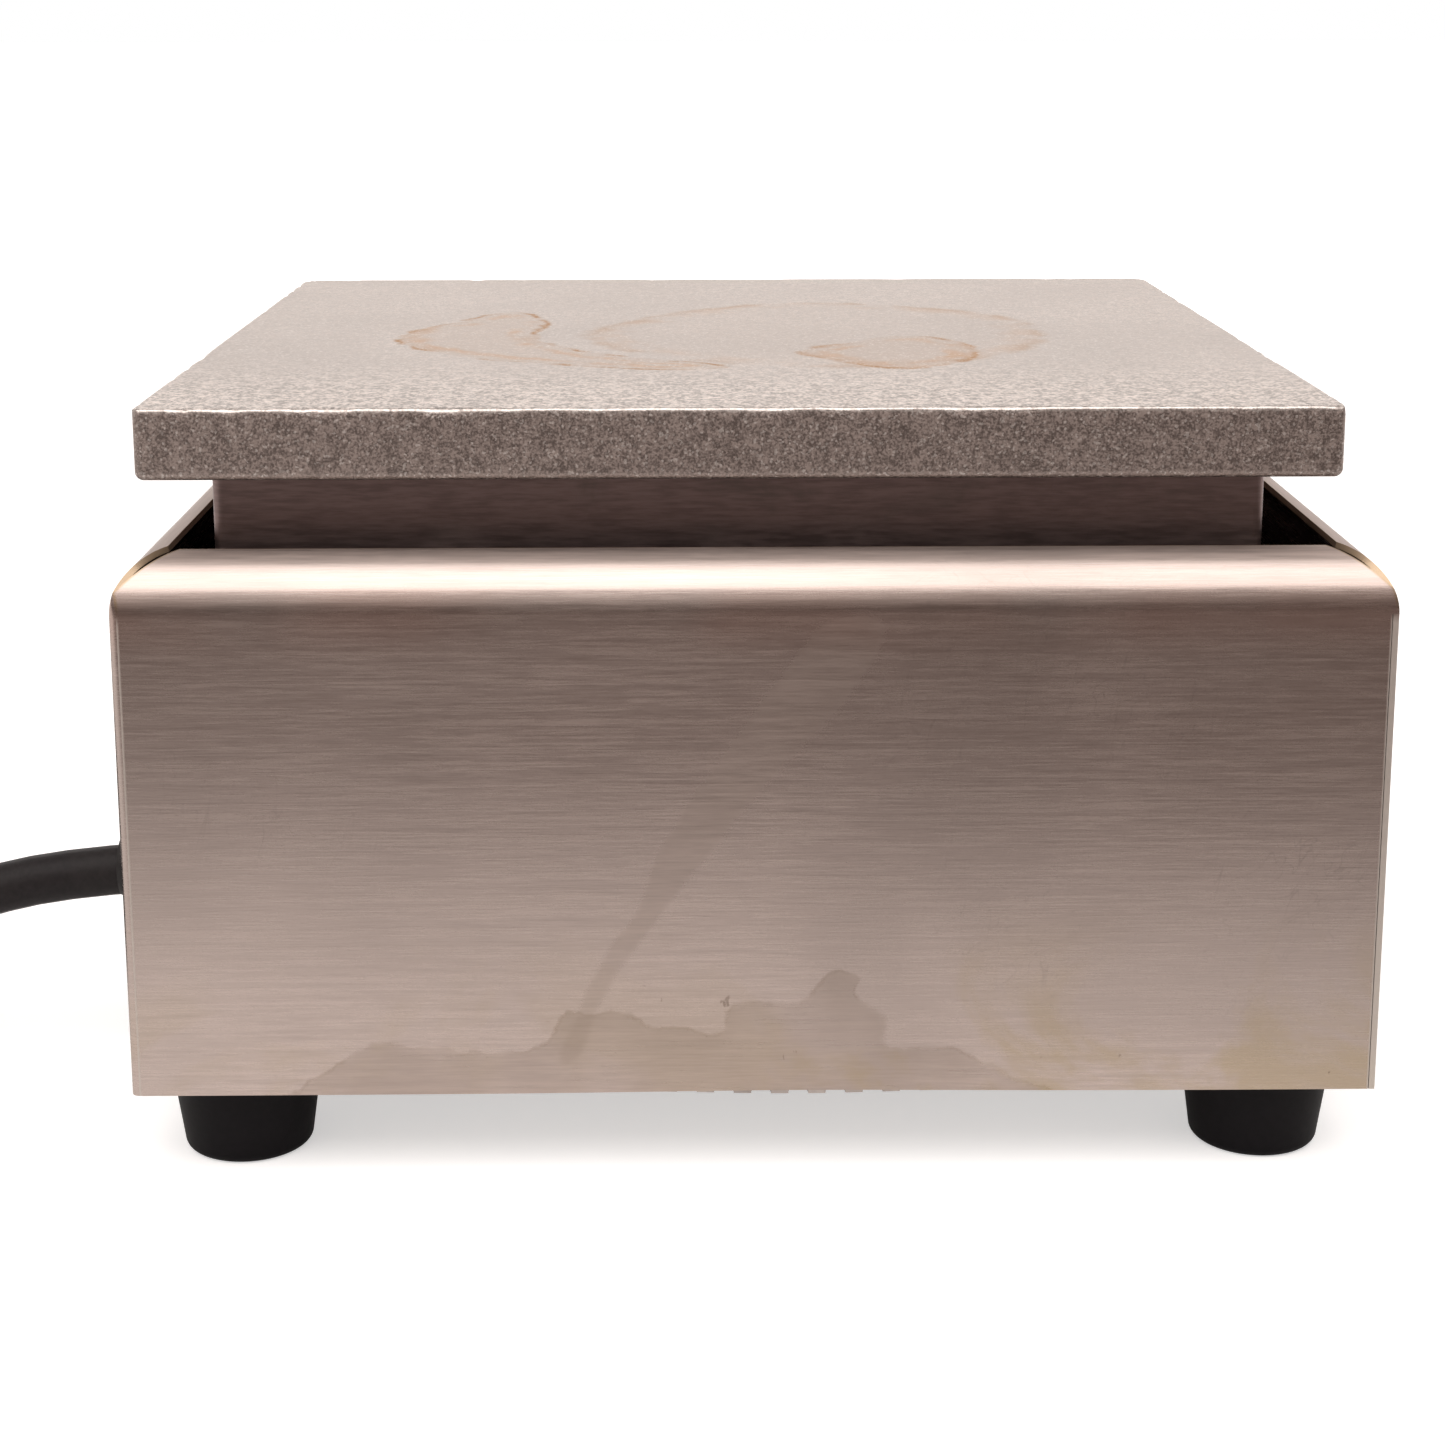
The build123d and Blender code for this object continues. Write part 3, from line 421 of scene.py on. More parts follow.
class EffectLibrary:
    """Builds each shared effect once, as a node group."""

    made: dict[Effect, bpy.types.NodeTree] = {}

    @classmethod
    def tree(cls, kind: Effect) -> bpy.types.NodeTree:
        """Node group of one effect, built at its first use."""
        if kind not in cls.made:
            cls.made[kind] = getattr(cls, "_" + kind.name.lower())()
        return cls.made[kind]

    @staticmethod
    def _start(name: str, inputs: Sequence[tuple[str, str, float]], outputs: Sequence[str]) -> tuple:
        """New group with its sockets.

        Args:
            name: Name of the group.
            inputs: (name, socket type, start value) of each input.
            outputs: Names of the value outputs.

        Returns:
            The tree, its graph, its input sockets by name, and its output node.
        """
        tree = bpy.data.node_groups.new(name, "ShaderNodeTree")
        for label, kind, value in inputs:
            socket = tree.interface.new_socket(name=label, in_out="INPUT", socket_type=kind)
            if kind == "NodeSocketFloat":
                socket.default_value = value
        for label in outputs:
            tree.interface.new_socket(name=label, in_out="OUTPUT", socket_type="NodeSocketFloat")
        graph = Graph(tree)
        entry = tree.nodes.new("NodeGroupInput")
        leave = tree.nodes.new("NodeGroupOutput")
        return tree, graph, {s.name: s for s in entry.outputs}, leave

    @classmethod
    def _grain(cls) -> bpy.types.NodeTree:
        """Sandy casting skin: fine noise, coarser noise and small bright crystals."""
        sockets = [("Vector", "NodeSocketVector", 0.0), ("Scale", "NodeSocketFloat", 1500.0)]
        tree, g, i, leave = cls._start(Effect.GRAIN.value, sockets, ("Tone", "Height", "Crystal"))
        fine = g.noise(i["Vector"], i["Scale"], 2.0, 0.6)
        coarse = g.noise(i["Vector"], g.times(i["Scale"], 0.28), 2.0, 0.5)
        tone = g.plus(g.times(fine, 0.7), g.times(coarse, 0.3))
        cell = g.node("ShaderNodeTexVoronoi", {"Vector": i["Vector"], "Scale": i["Scale"]})
        pick = g.node("ShaderNodeSeparateColor", {0: cell.outputs["Color"]})
        crystal = g.ramp(pick.outputs[0], 0.86, 0.97)
        tree.links.new(g.ramp(tone, 0.36, 0.64), leave.inputs["Tone"])
        tree.links.new(tone, leave.inputs["Height"])
        tree.links.new(crystal, leave.inputs["Crystal"])
        return tree

    @classmethod
    def _brushed(cls) -> bpy.types.NodeTree:
        """Brush lines: noise drawn out along the first coordinate, in two sizes."""
        sockets = [
            ("Vector", "NodeSocketVector", 0.0),
            ("Along", "NodeSocketFloat", 22.0),
            ("Across", "NodeSocketFloat", 2600.0),
        ]
        tree, g, i, leave = cls._start(Effect.BRUSHED.value, sockets, ("Tone", "Height"))
        parts = g.axes(i["Vector"])
        layers = []
        for share in (1.0, 0.31):
            u = g.times(parts[0], g.times(i["Along"], share))
            v = g.times(parts[1], g.times(i["Across"], share))
            w = g.times(parts[2], g.times(i["Across"], share))
            spot = g.node("ShaderNodeCombineXYZ", {0: u, 1: v, 2: w}).outputs[0]
            layers.append(g.noise(spot, 1.0, 2.0, 0.6))
        both = g.plus(g.times(layers[0], 0.55), g.times(layers[1], 0.45))
        tree.links.new(g.ramp(both, 0.34, 0.66), leave.inputs["Tone"])
        tree.links.new(both, leave.inputs["Height"])
        return tree

    @classmethod
    def _blotch(cls) -> bpy.types.NodeTree:
        """Patches of dirt or tarnish: warped noise above a threshold."""
        sockets = [
            ("Vector", "NodeSocketVector", 0.0),
            ("Scale", "NodeSocketFloat", 40.0),
            ("Threshold", "NodeSocketFloat", 0.55),
            ("Softness", "NodeSocketFloat", 0.1),
        ]
        tree, g, i, leave = cls._start(Effect.BLOTCH.value, sockets, ("Mask",))
        value = g.noise(i["Vector"], i["Scale"], 5.0, 0.6, 0.6)
        high = g.plus(i["Threshold"], i["Softness"])
        tree.links.new(g.ramp(value, i["Threshold"], high), leave.inputs["Mask"])
        return tree

    @classmethod
    def _outline(cls) -> bpy.types.NodeTree:
        """Dried edge of a spill: a thin wandering line at distance zero, the film and the tide inside."""
        sockets = [
            ("Vector", "NodeSocketVector", 0.0),
            ("Distance", "NodeSocketFloat", 1.0),
            ("Width", "NodeSocketFloat", 0.5),
            ("Wander", "NodeSocketFloat", 2.0),
        ]
        tree, g, i, leave = cls._start(Effect.OUTLINE.value, sockets, ("Line", "Film", "Tide"))
        wander = g.math("SUBTRACT", g.noise(i["Vector"], 190.0, 4.0, 0.6), 0.5)
        edge = g.plus(i["Distance"], g.times(wander, g.times(i["Wander"], 2.0)))
        broken = g.ramp(g.noise(i["Vector"], 120.0, 3.0, 0.6), 0.38, 0.6)
        line = g.ramp(g.math("ABSOLUTE", edge), i["Width"], 0.0)
        tree.links.new(g.times(line, broken), leave.inputs["Line"])
        tree.links.new(g.ramp(edge, 0.6, -0.6), leave.inputs["Film"])
        inward = g.times(g.ramp(edge, -5.0, -0.3), g.ramp(edge, 0.9, 0.0))
        patch = g.ramp(g.noise(i["Vector"], 62.0, 3.0, 0.6), 0.47, 0.66)
        tree.links.new(g.times(inward, patch), leave.inputs["Tide"])
        return tree

    @classmethod
    def _scuff(cls) -> bpy.types.NodeTree:
        """Fine random scratches: thin crests of stretched, warped noise, only inside sparse patches."""
        sockets = [("Vector", "NodeSocketVector", 0.0), ("Scale", "NodeSocketFloat", 60.0)]
        tree, g, i, leave = cls._start(Effect.SCUFF.value, sockets, ("Mask",))
        lines = []
        for turn in (0.35, -0.6, 1.2):
            swung = g.node("ShaderNodeMapping", {"Vector": i["Vector"], "Rotation": (turn, turn * 0.7, turn)})
            drawn = g.stretched(swung.outputs[0], (1.0, 22.0, 9.0))
            value = g.noise(drawn, i["Scale"], 1.0, 0.4, 0.3)
            lines.append(g.ramp(g.math("ABSOLUTE", g.math("SUBTRACT", value, 0.5)), 0.006, 0.0))
        crests = g.math("MAXIMUM", g.math("MAXIMUM", lines[0], lines[1]), lines[2])
        patch = g.ramp(g.noise(i["Vector"], g.times(i["Scale"], 0.5), 2.0), 0.55, 0.68)
        tree.links.new(g.times(crests, patch), leave.inputs["Mask"])
        return tree


# ---------------------------------------------------------------- finishes


@dataclass(frozen=True)
class Finish:
    """What every finish has: the slot it dresses, its own colour and its plain shader values."""

    slot: str
    colour: Colour
    roughness: float = 0.5
    metallic: float = 0.0

    def open(self) -> tuple[bpy.types.Material, Graph, bpy.types.Node, Socket]:
        """Empty material with its shader.

        Returns:
            The material, its graph, its Principled shader and the object coordinates.
        """
        made = bpy.data.materials.new(self.slot)
        made.use_nodes = True
        graph = Graph(made.node_tree)
        shader = made.node_tree.nodes["Principled BSDF"]
        shader.inputs["Base Color"].default_value = (*self.colour, 1.0)
        shader.inputs["Roughness"].default_value = self.roughness
        shader.inputs["Metallic"].default_value = self.metallic
        place = graph.node("ShaderNodeTexCoord").outputs["Object"]
        return made, graph, shader, place

    def relief(self, graph: Graph, shader: bpy.types.Node, height: Socket, depth: float) -> None:
        """Bump of the given depth in metres between a height of 0 and 1."""
        bump = graph.node("ShaderNodeBump", {"Height": height, "Distance": depth, "Strength": 1.0})
        graph.tree.links.new(bump.outputs[0], shader.inputs["Normal"])

    def feed(self, graph: Graph, shader: bpy.types.Node, **sockets: Socket) -> None:
        """Link sockets to the shader's inputs by name."""
        for key, socket in sockets.items():
            graph.tree.links.new(socket, shader.inputs[key.replace("_", " ").title()])

    def material(self) -> bpy.types.Material:
        """The finished material; each kind of finish has its own."""
        raise NotImplementedError


@dataclass(frozen=True)
class CastAluminium(Finish):
    """Blasted cast aluminium, worn bright at its upper edge, with dried spills on the hot face."""

    # Darker copy of the face colour for the sides below the top: painted shade.
    painted_shade_side_colour: Colour = (0.395, 0.33, 0.302)
    stain: Colour = (0.40, 0.19, 0.045)
    film: Colour = (0.52, 0.40, 0.32)
    worn_edge: Colour = (0.74, 0.69, 0.65)
    crystal: Colour = (0.85, 0.80, 0.76)
    top: float = 105.6 * MM
    spills: tuple = (("ring_1", 1.0, 1.1), ("ring_2", 1.0, 1.2), ("ring_3", 0.3, 2.4))

    def dried(self, g: Graph, place: Socket, face: Socket) -> Socket:
        """Old spills over the face: in each a tide mark, its line, a fainter line inside, and a film.

        Args:
            g: The material's graph.
            place: Object coordinates.
            face: Colour of the bare face.

        Returns:
            The stained colour.
        """
        films = []
        for name, weight, width in self.spills:
            value = g.stored(name)
            spill = g.effect(Effect.OUTLINE, vector=place, distance=value, width=width, wander=2.4).outputs
            face = g.blend(g.times(spill["Tide"], 0.6 * weight), face, toned(self.stain, 1.25))
            face = g.blend(g.times(spill["Line"], weight), face, self.stain)
            inner = g.plus(value, 3.4)
            wide = width * 1.8
            echo = g.effect(Effect.OUTLINE, vector=place, distance=inner, width=wide, wander=3.4).outputs
            face = g.blend(g.times(echo["Line"], weight * 0.5), face, toned(self.stain, 1.5))
            films.append(g.times(spill["Film"], 0.30 * weight))
        return g.blend(g.plus(g.plus(films[0], films[1]), films[2]), face, self.film)

    def material(self) -> bpy.types.Material:
        """Grain in colour and relief; spills follow the piece's ring_1, ring_2 and ring_3 values.

        Toward the -Y edge a rougher skin takes over, the outer edge is worn bright where from_edge is
        small, and the sides below the top are darker than the face: a painted shade.

        Returns:
            The material.
        """
        made, g, shader, place = self.open()
        grain = g.effect(Effect.GRAIN, vector=place, scale=3300.0)
        broad = g.noise(place, 22.0, 3.0, 0.5, 0.4)
        _, y, z = g.axes(place)
        on_top = g.ramp(z, self.top - 0.75 * MM, self.top - 0.1 * MM)
        tone = grain.outputs["Tone"]
        # The sides below the top get the darker copy of the face colour, a painted shade, with the grain over
        # it.
        side = g.blend(tone, toned(self.painted_shade_side_colour, 0.62), toned(self.painted_shade_side_colour, 1.22))
        face = g.blend(tone, toned(self.colour, 0.72), toned(self.colour, 1.16))
        face = g.blend(g.ramp(broad, 0.35, 0.7), face, toned(self.colour, 0.86))
        rough_skin = g.effect(Effect.GRAIN, vector=place, scale=1900.0)
        unworn = g.blend(rough_skin.outputs["Tone"], toned(self.colour, 0.45), toned(self.colour, 1.5))
        face = g.blend(g.ramp(y, -28.0 * MM, -76.0 * MM, 0.12, 0.8), face, unworn)
        colour = g.blend(on_top, side, self.dried(g, place, face))
        wander = g.math("SUBTRACT", g.noise(place, 800.0, 3.0), 0.5)
        worn = g.ramp(g.plus(g.stored("from_edge"), g.times(wander, 1.6)), 0.6, 0.2)
        colour = g.blend(g.times(worn, 0.6), colour, self.worn_edge)
        colour = g.blend(g.times(grain.outputs["Crystal"], 0.5), colour, self.crystal)
        rough = g.plus(g.times(tone, 0.16), g.ramp(worn, 0.0, 1.0, 0.40, 0.34))
        self.feed(g, shader, base_color=colour, roughness=rough)
        self.relief(g, shader, grain.outputs["Height"], 0.085 * MM)
        return made


@dataclass(frozen=True)
class BrushedSheet(Finish):
    """Brushed stainless sheet with a handled, stained surface; it follows the piece's own chart."""

    dirt: Colour = (0.30, 0.235, 0.19)
    straw: Colour = (0.34, 0.23, 0.10)
    splash: Colour = (0.42, 0.33, 0.19)
    speck: Colour = (0.16, 0.11, 0.08)
    blush: Colour = (0.50, 0.34, 0.29)
    bare_cut: Colour = (0.66, 0.61, 0.56)

    def soiled(self, g: Graph, place: Socket, colour: Socket) -> tuple[Socket, Socket]:
        """Dried residue low down, a wiped smear, yellow splashes with dark specks, and fine scratches.

        Args:
            g: The material's graph.
            place: Object coordinates.
            colour: Colour of the clean sheet.

        Returns:
            The soiled colour, and how much of a film lies on the sheet.
        """
        x, _, z = g.axes(place)
        dried = g.effect(Effect.OUTLINE, vector=place, distance=g.stored("residue"), width=0.45, wander=1.6)
        wiped = g.effect(Effect.OUTLINE, vector=place, distance=g.stored("smear"), width=0.3, wander=0.7)
        film = g.times(dried.outputs["Film"], g.ramp(g.noise(place, 60.0, 4.0), 0.3, 0.62, 0.5, 1.0))
        colour = g.blend(g.times(film, 0.34), colour, self.dirt)
        colour = g.blend(g.times(dried.outputs["Line"], 0.35), colour, self.dirt)
        colour = g.blend(g.times(wiped.outputs["Film"], 0.16), colour, self.dirt)
        low = g.ramp(z, 42.0 * MM, 14.0 * MM)
        shifted = g.stretched(place, (1.0, 1.0, 1.0), (0.031, 0.0, 0.0))
        splash = g.effect(Effect.BLOTCH, vector=shifted, scale=34.0, threshold=0.47, softness=0.14)
        splashed = g.times(splash.outputs["Mask"], low)
        rear = g.ramp(x, -14.0 * MM, 12.0 * MM, 0.35, 1.0)
        colour = g.blend(g.times(splashed, g.times(rear, 0.5)), colour, self.splash)
        specks = g.effect(Effect.BLOTCH, vector=place, scale=420.0, threshold=0.69, softness=0.04)
        colour = g.blend(g.times(g.times(specks.outputs["Mask"], splashed), 0.8), colour, self.speck)
        scuffs = g.effect(Effect.SCUFF, vector=place, scale=26.0)
        colour = g.blend(g.times(scuffs.outputs["Mask"], 0.35), colour, toned(self.colour, 0.55))
        return colour, g.plus(film, wiped.outputs["Film"])

    def material(self) -> bpy.types.Material:
        """Brush lines along the chart's first axis, dirt over them, and heat tint at the cut edges.

        A faint blush lies where the wall turns into the roll, and the sheared edges below it are bare.

        Returns:
            The material.
        """
        made, g, shader, place = self.open()
        chart = g.node("ShaderNodeUVMap", uv_map="UVMap").outputs[0]
        brushed = g.effect(Effect.BRUSHED, vector=chart, along=240.0, across=3800.0)
        long_lines = g.effect(Effect.BRUSHED, vector=chart, along=60.0, across=2600.0)
        tone = g.plus(g.times(brushed.outputs["Tone"], 0.5), g.times(long_lines.outputs["Tone"], 0.5))
        colour = g.blend(tone, toned(self.colour, 0.85), toned(self.colour, 1.13))
        cloud = g.noise(place, 16.0, 3.0, 0.5, 0.5)
        colour = g.blend(g.ramp(cloud, 0.42, 0.7, 0.0, 0.45), colour, toned(self.colour, 0.74))
        colour, films = self.soiled(g, place, colour)
        z = g.axes(place)[2]
        band = g.times(g.ramp(z, 72.0 * MM, 79.0 * MM), g.ramp(z, 84.0 * MM, 80.0 * MM))
        blush = g.times(band, g.ramp(g.noise(place, 24.0, 2.0), 0.42, 0.62))
        colour = g.blend(g.times(blush, 0.4), colour, self.blush)
        cut = g.stored("cut")
        heat = g.times(g.ramp(cut, 0.3, 1.0), g.ramp(z, 78.5 * MM, 81.0 * MM))
        colour = g.blend(g.times(heat, 0.6), colour, self.straw)
        sheared = g.times(g.ramp(cut, 0.6, 1.0), g.ramp(z, 79.5 * MM, 77.5 * MM))
        colour = g.blend(g.times(sheared, 0.8), colour, self.bare_cut)
        rough = g.plus(g.times(tone, 0.10), self.roughness)
        rough = g.plus(rough, g.times(films, 0.06))
        rough = g.plus(rough, g.ramp(z, 84.6 * MM, 86.2 * MM, 0.0, 0.3))
        rough = g.plus(rough, g.times(sheared, 0.3))
        self.feed(g, shader, base_color=colour, roughness=rough)
        height = g.plus(brushed.outputs["Height"], g.times(long_lines.outputs["Height"], 1.2))
        self.relief(g, shader, height, 0.009 * MM)
        return made


@dataclass(frozen=True)
class PlainMetal(Finish):
    """Metal part with drawn lines, patches of tarnish and fine scratches."""

    tarnish: Colour = (0.2, 0.17, 0.15)
    drawn: Colour = (1.0, 1.0, 12.0)
    amount: float = 0.5

    def material(self) -> bpy.types.Material:
        """Lines drawn out by the finish's own stretch, with tarnish over them."""
        made, g, shader, place = self.open()
        lines = g.noise(g.stretched(place, self.drawn), 220.0, 3.0, 0.6)
        colour = g.blend(g.ramp(lines, 0.3, 0.7), toned(self.colour, 0.8), toned(self.colour, 1.12))
        patch = g.effect(Effect.BLOTCH, vector=place, scale=70.0, threshold=0.5, softness=0.2)
        colour = g.blend(g.times(patch.outputs["Mask"], self.amount), colour, self.tarnish)
        scuffs = g.effect(Effect.SCUFF, vector=place, scale=60.0)
        colour = g.blend(g.times(scuffs.outputs["Mask"], 0.3), colour, toned(self.colour, 0.6))
        rough = g.plus(g.times(lines, 0.16), self.roughness)
        rough = g.plus(rough, g.times(patch.outputs["Mask"], 0.14))
        self.feed(g, shader, base_color=colour, roughness=rough)
        self.relief(g, shader, lines, 0.01 * MM)
        return made


@dataclass(frozen=True)
class Moulding(Finish):
    """Rubber or moulded plastic: fine pebble, faint dust in broad patches and rubbed patches."""

    pebble: float = 1600.0
    depth: float = 0.02 * MM
    dust: Colour = (0.05, 0.046, 0.042)
    dusty: float = 0.2
    coat: float = 0.0
    specular: float = 0.3

    def material(self) -> bpy.types.Material:
        """Pebble relief, colour that varies a little, and dust where broad noise is high."""
        made, g, shader, place = self.open()
        pebble = g.noise(place, self.pebble, 3.0, 0.55)
        broad = g.noise(place, 60.0, 4.0, 0.55, 0.3)
        colour = g.blend(g.ramp(pebble, 0.3, 0.7), toned(self.colour, 0.82), toned(self.colour, 1.2))
        haze = g.times(g.ramp(broad, 0.45, 0.75), self.dusty)
        colour = g.blend(haze, colour, self.dust)
        scuffs = g.effect(Effect.SCUFF, vector=place, scale=45.0)
        rubbed = tuple(min(channel * 2.2 + 0.02, 1.0) for channel in self.colour)
        colour = g.blend(g.times(scuffs.outputs["Mask"], 0.4), colour, rubbed)
        rough = g.plus(g.times(broad, 0.22), self.roughness - 0.08)
        self.feed(g, shader, base_color=colour, roughness=rough)
        shader.inputs["Coat Weight"].default_value = self.coat
        shader.inputs["Specular IOR Level"].default_value = self.specular
        self.relief(g, shader, pebble, self.depth)
        return made


@dataclass(frozen=True)
class FibreBoard(Finish):
    """Ceramic fibre or unglazed ceramic: matted threads and scorched patches."""

    scorch: Colour = (0.32, 0.22, 0.14)

    def material(self) -> bpy.types.Material:
        """Matted noise in colour and relief, scorched by broad patches."""
        made, g, shader, place = self.open()
        mat = g.noise(g.stretched(place, (1.0, 1.0, 3.0)), 900.0, 5.0, 0.7, 1.2)
        colour = g.blend(g.ramp(mat, 0.3, 0.7), toned(self.colour, 0.78), self.colour)
        burnt = g.effect(Effect.BLOTCH, vector=place, scale=45.0, threshold=0.5, softness=0.2)
        colour = g.blend(g.times(burnt.outputs["Mask"], 0.35), colour, self.scorch)
        self.feed(g, shader, base_color=colour)
        self.relief(g, shader, mat, 0.08 * MM)
        return made


@dataclass(frozen=True)
class LampLens(Finish):
    """Amber moulded lens, unlit, with a faint cloudiness."""

    def material(self) -> bpy.types.Material:
        """Clear coloured plastic with a faint cloudiness."""
        made, g, shader, place = self.open()
        cloud = g.noise(place, 320.0, 4.0, 0.6)
        colour = g.blend(g.ramp(cloud, 0.35, 0.7), self.colour, toned(self.colour, 0.6))
        rough = g.plus(g.times(cloud, 0.12), self.roughness)
        self.feed(g, shader, base_color=colour, roughness=rough)
        shader.inputs["Transmission Weight"].default_value = 0.45
        shader.inputs["IOR"].default_value = 1.49
        self.relief(g, shader, cloud, 0.01 * MM)
        return made


FINISHES: tuple[Finish, ...] = (
    CastAluminium("cast_aluminium", (0.63, 0.565, 0.525), 0.45, 1.0),
    BrushedSheet("brushed_housing", (0.53, 0.444, 0.406), 0.21, 1.0),
    BrushedSheet("brushed_panel", (0.53, 0.444, 0.406), 0.21, 1.0),
    PlainMetal("riser_steel", (0.295, 0.22, 0.21), 0.34, 1.0, drawn=(1.0, 1.0, 9.0), amount=0.35),
    PlainMetal("sheath_steel", (0.30, 0.25, 0.21), 0.42, 1.0, amount=0.7),
    PlainMetal("plain_steel", (0.52, 0.50, 0.48), 0.34, 1.0),
    PlainMetal("tray_steel", (0.52, 0.47, 0.44), 0.36, 1.0, drawn=(1.0, 14.0, 1.0), amount=0.4),
    PlainMetal("zinc_screw", (0.62, 0.61, 0.58), 0.28, 1.0, tarnish=(0.34, 0.30, 0.20), amount=0.35),
    PlainMetal("black_steel", (0.05, 0.05, 0.05), 0.4, 1.0),
    PlainMetal("brass_part", (0.62, 0.46, 0.20), 0.3, 1.0, tarnish=(0.26, 0.18, 0.09)),
    PlainMetal("copper_part", (0.66, 0.34, 0.21), 0.3, 1.0, tarnish=(0.22, 0.11, 0.07)),
    PlainMetal("bezel_chrome", (0.74, 0.73, 0.72), 0.14, 1.0, amount=0.2),
    PlainMetal("dial_finish", (0.66, 0.64, 0.62), 0.32, 1.0, drawn=(1.0, 1.0, 16.0), amount=0.12),
    FibreBoard("ceramic_fibre", (0.74, 0.70, 0.62), 0.95),
    FibreBoard("ceramic_block", (0.80, 0.77, 0.70), 0.6),
    Moulding(
        "foot_rubber", (0.004, 0.003, 0.004), 0.5, pebble=1100.0, dust=(0.012, 0.011, 0.011), specular=0.13
    ),
    Moulding("knob_phenolic", (0.014, 0.013, 0.013), 0.34, dusty=0.2, coat=0.15),
    Moulding("pointer_white", (0.78, 0.76, 0.72), 0.45, dust=(0.45, 0.41, 0.36), dusty=0.3),
    Moulding("dark_moulding", (0.03, 0.026, 0.024), 0.42),
    Moulding("lead_black", (0.02, 0.02, 0.02), 0.5),
    Moulding("lead_white", (0.72, 0.71, 0.68), 0.5, dust=(0.5, 0.46, 0.40)),
    Moulding("lead_green", (0.05, 0.24, 0.09), 0.5),
    Moulding("cord_rubber", (0.014, 0.011, 0.012), 0.48, pebble=1300.0, depth=0.03 * MM, specular=0.22),
    Moulding("cord_rubber_gland", (0.018, 0.016, 0.016), 0.46),
    Moulding("plug_rubber", (0.02, 0.018, 0.018), 0.44),
    LampLens("amber_lens", (0.85, 0.33, 0.05), 0.12),
)


class Wardrobe:
    """All finished materials, by slot."""

    def __init__(self, finishes: Sequence[Finish]) -> None:
        """Build every finish once."""
        self.by_slot = {finish.slot: finish.material() for finish in finishes}

    def dress_nodes(self, nodes: dict[str, Piece]) -> None:
        """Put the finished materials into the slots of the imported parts."""
        for made in nodes.values():
            for holder in made.material_slots:
                holder.material = self.by_slot[holder.material.name.split(".")[0]]

    def dress(self, made: Piece, slot: str, body: str = "root") -> Piece:
        """Give a new piece its finish and its body.

        Args:
            made: The piece.
            slot: Material slot.
            body: Body that it rides on.

        Returns:
            The same piece.
        """
        made.data.materials.append(self.by_slot[slot])
        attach(made, body)
        log.info("%s: %s on %s", made.name, slot, body)
        return made


# ---------------------------------------------------------------- the object


@dataclass
class PowerCord:
    """Mains lead: out of the rear wall, down to the surface, wound and put away, with its plug."""

    radius: float = 3.8 * MM
    length: float = 1.54
    centre: tuple[float, float] = (-0.194, 0.0)
    outer: float = 49.4 * MM
    step: float = 7.6 * MM
    turns: float = 5.15
    lead_in: tuple = (
        (-0.0815, -0.0336, 0.0280),
        (-0.1090, -0.0336, 0.0280),
        (-0.1350, -0.0340, 0.0210),
        (-0.1590, -0.0400, 0.0140),
        (-0.1800, -0.0490, 0.0114),
    )
    tail: tuple = (
        (-0.2405, -0.0200, 0.0038),
        (-0.2480, -0.0015, 0.0055),
        (-0.2510, 0.0170, 0.0105),
        (-0.2515, 0.0330, 0.0122),
    )

    def winding(self) -> np.ndarray:
        """Control points of the wound turns.

        The angle falls by a full turn for each unit of t.  The radius steps in by one diameter twice
        on the upper layer, the height drops by one diameter, and the radius steps out twice again.

        Returns:
            Points, (n, 3), 24 to the turn.
        """
        t = np.linspace(0.0, self.turns, round(24 * self.turns) + 1)
        angle = -math.pi / 2 - 2.0 * math.pi * t
        inward = smooth_step(t, 0.75, 1.0) + smooth_step(t, 1.75, 2.0)
        outward = smooth_step(t, 3.15, 3.4) + smooth_step(t, 4.15, 4.4)
        reach = self.outer - self.step * (inward - outward)
        height = 3.0 * self.radius - self.step * smooth_step(t, 2.7, 3.0)
        x = self.centre[0] + reach * np.cos(angle)
        y = self.centre[1] + reach * np.sin(angle)
        return np.stack([x, y, height], 1)

    def build(self, wardrobe: Wardrobe) -> Piece:
        """One smooth spline with the route's points as its control points."""
        route = np.vstack([np.asarray(self.lead_in), self.winding(), np.asarray(self.tail)])
        curve = bpy.data.curves.new("power_cord", "CURVE")
        curve.dimensions = "3D"
        curve.resolution_u = 6
        curve.bevel_depth = self.radius
        curve.bevel_resolution = 5
        curve.use_fill_caps = True
        spline = curve.splines.new("NURBS")
        spline.points.add(len(route) - 1)
        spline.points.foreach_set("co", np.hstack([route, np.ones((len(route), 1))]).ravel())
        spline.order_u = 3
        spline.use_endpoint_u = True
        made = bpy.data.objects.new("power_cord", curve)
        bpy.context.scene.collection.objects.link(made)
        return wardrobe.dress(made, "cord_rubber")


